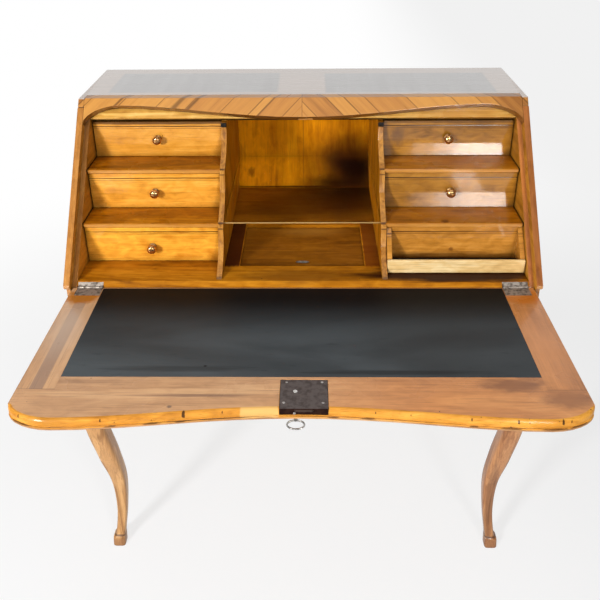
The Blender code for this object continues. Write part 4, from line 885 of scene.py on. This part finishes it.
clamp_colour = lid_finish.blend(in_strip, clamp_colour, opaque(HEART_WOOD))
out_x = lid_finish.sum('ABSOLUTE', lid_axes["X"])
past_x = lid_finish.sum('GREATER_THAN', out_x, CLAMP_FROM)
past_y = lid_finish.sum('GREATER_THAN', lid_axes["Y"], CLAMP_END)
in_clamp = lid_finish.sum('MULTIPLY', past_x, past_y)
lid_colour = lid_finish.blend(in_clamp, rail_colour, clamp_colour)
to_end = lid_finish.off(lid_axes["Y"], CLAMP_END)
clamp_seam = lid_finish.sum('MULTIPLY', past_x, lid_finish.span(to_end, 0.0009, 0.0003, 0.0, 0.55))
lid_colour = lid_finish.blend(clamp_seam, lid_colour, opaque(SEAM_DIRT))
lid_colour = lid_finish.marked(lid_colour, lid_place, LID_MARKS)
to_right = lid_finish.span(lid_axes["X"], -0.12, 0.22)
lid_colour = lid_finish.blend(to_right, lid_colour, opaque(LID_WARM), 'MULTIPLY')
lid_colour = wormed(lid_finish, lid_colour, lid_place, 0.05)
# The lid's sheltered corners darken with dirt and with painted shade.
lid_finish.join(dirt_and_painted_shade(lid_finish, lid_colour, 0.4, 0.012, LID[0]), "Base Color")
lid_finish.join(lid_finish.span(lid_finish.noise(lid_place, 14.0, 3.0), 0.3, 0.7, 0.24, 0.40), "Roughness")
lid_finish.relief(rail_surface, 0.0005, 0.35)
LID_CHIPS = (
    (-0.432, 0.0016), (-0.303, 0.0014), (-0.178, 0.0030), (-0.119, 0.0012), (0.118, 0.0011), (0.171, 0.0009),
    (0.262, 0.0013), (0.331, 0.0017), (0.347, 0.0010), (0.398, 0.0022), (0.411, 0.0012),
)
CHIP_HEIGHT = 0.722
CHIP_SHADE = (0.030, 0.010, 0.004)
LIP_DIRT = (
    (-0.427, 0.014), (-0.288, 0.008), (-0.227, 0.010), (-0.183, 0.007), (-0.054, 0.010), (0.053, 0.007),
    (0.106, 0.009), (0.266, 0.006), (0.322, 0.014), (0.388, 0.018), (0.426, 0.013),
)
LIP_DIRT_HEIGHT = 0.7122
LIP_SHADE = (0.040, 0.014, 0.004)
PALE_REPAIR = ((-0.062, -0.39, 0.718), (0.032, 0.05, 0.03), (0.74, 0.45, 0.15), 0.75, 0.9, 0.15)
LID_RIM = 0.725
LID_FRONT = -0.30
lid_corners = [v.co for v in frame["nodes"]["lid_board"].data.vertices
               if v.co.z > LID_RIM and v.co.y < LID_FRONT]
lid_edge_marks = []
for chip_x, chip_size in LID_CHIPS:
    nearest = min(lid_corners, key=lambda corner: abs(corner.x - chip_x) + 0.1 * corner.y)
    chip_reach = (chip_size, 0.02, 2 * chip_size)
    lid_edge_marks.append(((chip_x, nearest.y, CHIP_HEIGHT), chip_reach, CHIP_SHADE, 0.9, 0.7, 1.0))
lip_marks = []
for dirt_x, dirt_length in LIP_DIRT:
    dirt_reach = (1.6 * dirt_length, 0.09, 0.0013)
    lip_marks.append(((dirt_x, -0.39, LIP_DIRT_HEIGHT), dirt_reach, LIP_SHADE, 0.8, 0.6, 1.2))
lid_edge_marks += lip_marks + [PALE_REPAIR]
lid_edge = wood("lid_edge_walnut", LID_EDGE, "X", 63.0, gloss=0.40, coat=0.15, grime_and_shade=0.8, worm=0.5,
                marks=lid_edge_marks, lustre=0.1)
LID_LIP = ((0.20, 0.085, 0.026), (0.42, 0.205, 0.072), (0.56, 0.31, 0.12))
lid_lip = wood("lid_lip_walnut", LID_LIP, "X", 64.0, gloss=0.34, coat=0.25, grime_and_shade=0.8, worm=0.3,
               marks=lip_marks)
lid_back = wood("lid_outer_walnut", WALNUT, "X", 67.0, gloss=0.28)
LEATHER_FRONT = -0.320
FREE_EDGE = -0.35
FREE_RADIUS = 0.006
LEVEL_WITHIN = 0.0002


def on_lid_face(corners):
    return all(abs(v.co.z - LID_FACE) < LEVEL_WITHIN for v in corners)


def on_free_edge(edge):
    """True for the upper arris of the free edge, from the lock out to the round corners."""
    faces_out = any(f.normal.y < -0.3 and abs(f.normal.z) < 0.2 for f in edge.link_faces)
    return faces_out and on_lid_face(edge.verts) and all(v.co.y < FREE_EDGE for v in edge.verts)


def beside_leather(edge):
    """True for the two side rims of the leather's recess, which the hinges come close to."""
    on_rim = all(abs(abs(v.co.x) - CLAMP_FROM) < LEVEL_WITHIN for v in edge.verts)
    return on_rim and on_lid_face(edge.verts)


def rub_free_edge(shape):
    """The arris that hands took hold of is rubbed round down to the pale wood."""
    shape.normal_update()
    front = [f for f in shape.faces if f.normal.z > 0.999 and on_lid_face(f.verts)
             and all(v.co.y < LEATHER_FRONT for v in f.verts)]
    bmesh.ops.dissolve_faces(shape, faces=front)
    arris = [e for e in shape.edges if on_free_edge(e)]
    bmesh.ops.bevel(shape, geom=arris, offset=FREE_RADIUS, segments=4, profile=0.5, affect='EDGES')
    shape.normal_update()


def lid_surface(face):
    rubbed_edge = face.normal.y < -0.08 and face.calc_center_median().y < FREE_EDGE
    if face.normal.z > (0.99 if rubbed_edge else 0.9):
        return 0
    if face.normal.z < -0.9 or face.normal.y > 0.5:
        return 2
    return 3 if face.calc_center_median().z < LIP_TOP else 1


fall_front = softened("lid_board", "fall_front_board", [lid_finish.material, lid_edge, lid_back, lid_lip],
                      radius=0.0012, chooser=lid_surface, worn=rub_free_edge, crisp=beside_leather)
stand_for(fall_front, "lid_board")

# Writing leather
# One skin of black calf, glued flat all over into a recess of the fall front so that it lies level with the
# board. Toward the front its black is painted blue grey, as painted sheen.
LEATHER_DARK = (0.0009, 0.0009, 0.001)
LEATHER_PAINTED_SHEEN = (0.076, 0.087, 0.093)
LEATHER_SCUFF = (0.012, 0.013, 0.014)
LEATHER_MARKS = (
    ((-0.20, -0.300, 0.727), (0.17, 0.010, 0.02), LEATHER_SCUFF, 0.45),
    ((-0.159, -0.293, 0.727), (0.004, 0.0025, 0.02), (0.004, 0.004, 0.004), 0.95),
    ((0.16, -0.309, 0.727), (0.20, 0.008, 0.02), LEATHER_SCUFF, 0.6),
)
leather = Finish("black_calf", {"Specular IOR Level": 0.12})
skin_place = leather.place()
cells = leather.add("TexVoronoi", {"Vector": skin_place, "Scale": 900.0}).outputs["Distance"]
patchiness = leather.noise(leather.stretched(skin_place, (2.2, 7.0, 5.0)), 1.0, 4.0, 0.4)
# The sheen painted into the colour, greyest toward the front.
sheen_share = leather.span(leather.add("SeparateXYZ", {0: skin_place}).outputs["Y"], -0.080, -0.270)
sheen_share = leather.sum('MULTIPLY', sheen_share, leather.span(patchiness, 0.28, 0.72, 0.50, 1.20))
skin = leather.blend(sheen_share, opaque(LEATHER_DARK), opaque(LEATHER_PAINTED_SHEEN))
scuffs = leather.noise(leather.stretched(skin_place, (24.0, 170.0, 40.0)), 1.0, 3.0)
skin = leather.blend(leather.span(scuffs, 0.62, 0.78, 0.0, 0.4), skin, opaque(LEATHER_SCUFF))
leather.join(leather.marked(skin, skin_place, LEATHER_MARKS), "Base Color")
leather.join(leather.span(patchiness, 0.3, 0.7, 0.40, 0.55), "Roughness")
leather.relief(cells, 0.0006, 0.25)
polish("writing_leather", leather.material)

# Hinges
# Two steel butt hinges let in flush: a leaf on the bevelled floor edge that carries the pin, and one on the
# lid, held by slotted countersunk screws.
hinge_steel = worn_fitting("hinge_steel", (0.34, 0.29, 0.245), (0.11, 0.085, 0.065), 0.40, 0.7, 0.8)
screw_steel = worn_fitting("screw_steel", (0.30, 0.27, 0.24), (0.10, 0.08, 0.065), 0.36, 0.8, 0.5)
SCREW_RADIUS = 0.0026
SCREW_SLOT = 0.0007
SCREW_PROUD = 0.0002
HINGE_MIDDLE = 0.4205
HINGE_SCREWS = ((-0.0165, -0.068), (0.0, -0.062), (0.0165, -0.068))
SCREW_STEPS = 10


def slotted_screw(name, centre, turn, material):
    """A flush screw head: two half moons with a sawn slot between them."""
    shape = bmesh.new()
    span = math.asin(SCREW_SLOT / SCREW_RADIUS)
    for side in (0.0, math.pi):
        arc = [side + span + (math.pi - 2 * span) * n / SCREW_STEPS for n in range(SCREW_STEPS + 1)]
        top = [shape.verts.new((SCREW_RADIUS * math.cos(angle), SCREW_RADIUS * math.sin(angle), SCREW_PROUD))
               for angle in arc]
        low = [shape.verts.new((v.co.x, v.co.y, -3 * SCREW_PROUD)) for v in top]
        shape.faces.new(top)
        for n in range(len(arc)):
            shape.faces.new((low[n - 1], low[n], top[n], top[n - 1]))
        shape.faces.new(low)
    shape.transform(Matrix.Translation(centre) @ Matrix.Rotation(turn, 4, 'Z'))
    return solid(name, shape, material)


for hand, way in HANDS.items():
    polish("hinge_case_leaf_" + hand, hinge_steel)
    polish("hinge_lid_leaf_" + hand, hinge_steel)
    for n, (screw_x, screw_y) in enumerate(HINGE_SCREWS):
        screw = slotted_screw("hinge_screw_%s_%d" % (hand, n + 1),
                              (way * HINGE_MIDDLE + screw_x, screw_y, LID_FACE), 0.6 + 1.1 * n, screw_steel)
        fit(screw, "hinge_lid_leaf_" + hand)

# Lock, bolt and key
# An iron box lock in the free edge: a plate with four hammered rivets, the end of the drill pin, and a
# selvage held by a screw. The steel key hangs in it from outside, with an oval wire bow.
lock_iron = worn_fitting("lock_iron", (0.105, 0.084, 0.078), (0.066, 0.050, 0.045), 0.44, 0.5, 0.3)
selvage_iron = worn_fitting("selvage_iron", (0.022, 0.008, 0.005), (0.012, 0.004, 0.003), 0.72,
                            metallic=0.0, pitted=0.4, lustre=0.08)
rivet_iron = worn_fitting("rivet_iron", (0.42, 0.40, 0.38), (0.20, 0.18, 0.165), 0.34, 0.7)
pin_steel = worn_fitting("pin_steel", (0.78, 0.77, 0.74), (0.50, 0.48, 0.45), 0.20)
key_steel = worn_fitting("key_steel", (0.42, 0.41, 0.39), (0.22, 0.20, 0.17), 0.18)
RIVET_SIDES = 18
PIN_SIDES = 20
RIVET_PLACES = ((-0.0215, -0.3335), (0.0360, -0.3335), (-0.0245, -0.3820), (0.0370, -0.3820))
RIVET_PROFILE = ((0.0023, -0.0004), (0.0023, 0.0), (0.0020, 0.0003), (0.0012, 0.0005), (0.0, 0.0005))
PIN_PLACE = (-0.0070, -0.3557)
PIN_PROFILE = ((0.0034, -0.0003), (0.0034, 0.0001), (0.0021, 0.0001), (0.0021, 0.0005), (0.0, 0.0005))
SELVAGE_SCREW = (-0.0076, -0.3958, 0.7165)
UPWARD = Vector((0.0, 0.0, 1.0))


def lock_surface(face):
    return 1 if face.normal.y < -0.6 else 0


stand_for(softened("lock_case", "lock_plate_and_box", [lock_iron, selvage_iron], radius=0.0003,
                   chooser=lock_surface), "lock_case")
for n, rivet in enumerate(RIVET_PLACES):
    head = lathe("lock_rivet_%d" % (n + 1), RIVET_PROFILE, RIVET_SIDES, rivet_iron,
                 Vector((*rivet, LID_FACE)), UPWARD)
    fit(head, "lock_case")
drill_pin = lathe("lock_drill_pin", PIN_PROFILE, PIN_SIDES, pin_steel,
                  Vector((*PIN_PLACE, LID_FACE)), UPWARD)
selvage_screw = lathe("lock_selvage_screw", RIVET_PROFILE, RIVET_SIDES, rivet_iron, Vector(SELVAGE_SCREW))
for fitting in (drill_pin, selvage_screw):
    fit(fitting, "lock_case")
polish("lock_bolt", worn_fitting("bolt_iron", (0.055, 0.030, 0.020), (0.024, 0.011, 0.007), 0.42, 0.5))
stand_for(softened("key", "key_filed", [key_steel], radius=0.0003, sharp=50.0), "key")

# Studio
# A white cloth floor that runs out of sight. The main light stands at the front left, a window with its
# reveal and the wall beside it at the front right, and weak soft lights above and in front. The camera sees
# the desk from the front and a little above.
FLOOR_HALF = 9.0
FLOOR_MIDDLE = 0.02
FLOOR_RINGS = 24
FLOOR_SIDES = 48
floor_shape = bmesh.new()
floor_rings = []
for ring in range(FLOOR_RINGS + 1):
    reach = FLOOR_HALF * (ring / FLOOR_RINGS) ** 2 + FLOOR_MIDDLE
    floor_rings.append(oval(floor_shape, Vector((0.0, 0.0, 0.0)), reach, reach, 0.0, FLOOR_SIDES))
floor_shape.faces.new(floor_rings[0])
skin_rings(floor_shape, floor_rings)
CLOTH = (0.86, 0.865, 0.875)
CLOTH_WHITE = (0.74, 1.0)
CLOTH_RIGHT = 0.88
cloth = Finish("studio_cloth", {"Base Color": opaque(CLOTH), "Roughness": 0.9, "Specular IOR Level": 0.0})
cloth_place = cloth.place()
cloth.relief(cloth.noise(cloth_place, 3.0, 3.0), 0.01, 0.2)
far = cloth.add("VectorMath", {0: cloth_place}, operation='LENGTH').outputs["Value"]
path = cloth.add("LightPath", {}).outputs
cloth_axes = cloth.add("SeparateXYZ", {0: cloth_place}).outputs
behind = cloth.span(cloth_axes["Y"], -0.9, -0.3)
mirrored = cloth.sum('MAXIMUM', path["Is Glossy Ray"], path["Is Transmission Ray"])
shown = cloth.sum('MAXIMUM', path["Is Camera Ray"], cloth.sum('MULTIPLY', mirrored, behind))
# Seen by the camera, the cloth dims toward the right: painted shade.
brightness = cloth.span(cloth_axes["X"], 0.3, 1.5, 1.0, CLOTH_RIGHT)
white = cloth.add("Emission", {"Color": (1.0, 1.0, 1.0, 1.0), "Strength": brightness})
fade = cloth.sum('MULTIPLY', cloth.span(far, 0.6, 2.4, *CLOTH_WHITE), shown)
cloth.give_way(fade, white)
studio_floor = solid("studio_floor", floor_shape, cloth.material)

ROOM_LEVEL = 0.15
ROOM_RIGHT = 0.89
world = bpy.data.worlds.new("studio")
bpy.context.scene.world = world
world.use_nodes = True
air = world.node_tree
paths = add_node(air, "LightPath", {}).outputs
toward = add_node(air, "SeparateXYZ", {0: add_node(air, "TexCoord", {}).outputs["Generated"]}).outputs
backdrop = add_node(air, "MapRange", {"Value": toward["Y"], "From Min": -0.1, "From Max": 0.25,
                                      "To Min": ROOM_LEVEL, "To Max": 1.0}).outputs[0]
mirrored = add_node(air, "Math", {0: paths["Is Glossy Ray"], 1: paths["Is Transmission Ray"]},
                    operation='MAXIMUM').outputs[0]
lit = add_node(air, "Mix", {0: mirrored, 2: ROOM_LEVEL, 3: backdrop}).outputs[0]
# Seen by the camera, the air dims toward the right too: painted shade.
pale = add_node(air, "MapRange", {"Value": toward["X"], "From Min": 0.12, "From Max": 0.40,
                                  "To Min": 1.0, "To Max": ROOM_RIGHT}).outputs[0]
shown_level = add_node(air, "Mix", {0: paths["Is Camera Ray"], 2: lit, 3: pale}).outputs[0]
air.nodes["Background"].inputs["Color"].default_value = (1.0, 1.0, 1.0, 1.0)
air.links.new(shown_level, air.nodes["Background"].inputs["Strength"])
LIGHT_AIM = Vector((0.0, 0.0, 0.8))


def soft_light(name, place, width, height, power):
    """A plain soft light of a given power, turned to the middle of the desk."""
    lamp = bpy.data.lights.new(name, 'AREA')
    lamp.shape = 'RECTANGLE'
    lamp.size = width
    lamp.size_y = height
    lamp.energy = power
    stand = bpy.data.objects.new(name, lamp)
    stand.location = place
    stand.rotation_euler = (LIGHT_AIM - Vector(place)).to_track_quat('-Z', 'Y').to_euler()
    bpy.context.scene.collection.objects.link(stand)


soft_light("key_light", (-1.9, -2.45, 1.80), 0.5, 0.5, 100.0)
soft_light("window_light", (0.955, -2.2, 1.69), 0.31, 0.32, 17.7)
soft_light("window_reveal", (0.75, -2.2, 1.69), 0.10, 0.32, 3.1)
soft_light("window_wall", (0.64, -2.2, 1.69), 0.12, 0.32, 1.5)
soft_light("top_light", (0.0, -0.4, 3.4), 2.0, 2.0, 14.0)
soft_light("fill_light", (0.15, -3.0, 1.5), 0.8, 0.8, 7.0)

CAMERA_PLACE = (0.0205, -1.2537, 1.4883)
FOCAL_PIXELS = 714.8
FRAME_PIXELS = 600.0
SHIFT_PIXELS = 100.0
PITCH, YAW, ROLL = math.radians(25.34), math.radians(-1.07), math.radians(-0.58)
ahead = Vector((math.cos(PITCH) * math.sin(YAW), math.cos(PITCH) * math.cos(YAW), -math.sin(PITCH)))
across = Vector((math.cos(YAW), -math.sin(YAW), 0.0))
upward = Vector((math.sin(PITCH) * math.sin(YAW), math.sin(PITCH) * math.cos(YAW), math.cos(PITCH)))
right = math.cos(ROLL) * across + math.sin(ROLL) * upward
top = math.cos(ROLL) * upward - math.sin(ROLL) * across
camera = bpy.data.objects.new("camera", bpy.data.cameras.new("camera"))
camera.data.sensor_width = 36.0
camera.data.lens = FOCAL_PIXELS / FRAME_PIXELS * camera.data.sensor_width
camera.data.shift_y = -SHIFT_PIXELS / FRAME_PIXELS
camera.data.clip_end = 50.0
camera.matrix_world = Matrix.Translation(CAMERA_PLACE) @ Matrix((right, top, -ahead)).transposed().to_4x4()
bpy.context.scene.collection.objects.link(camera)
bpy.context.scene.camera = camera
bpy.context.scene.view_settings.view_transform = 'Standard'
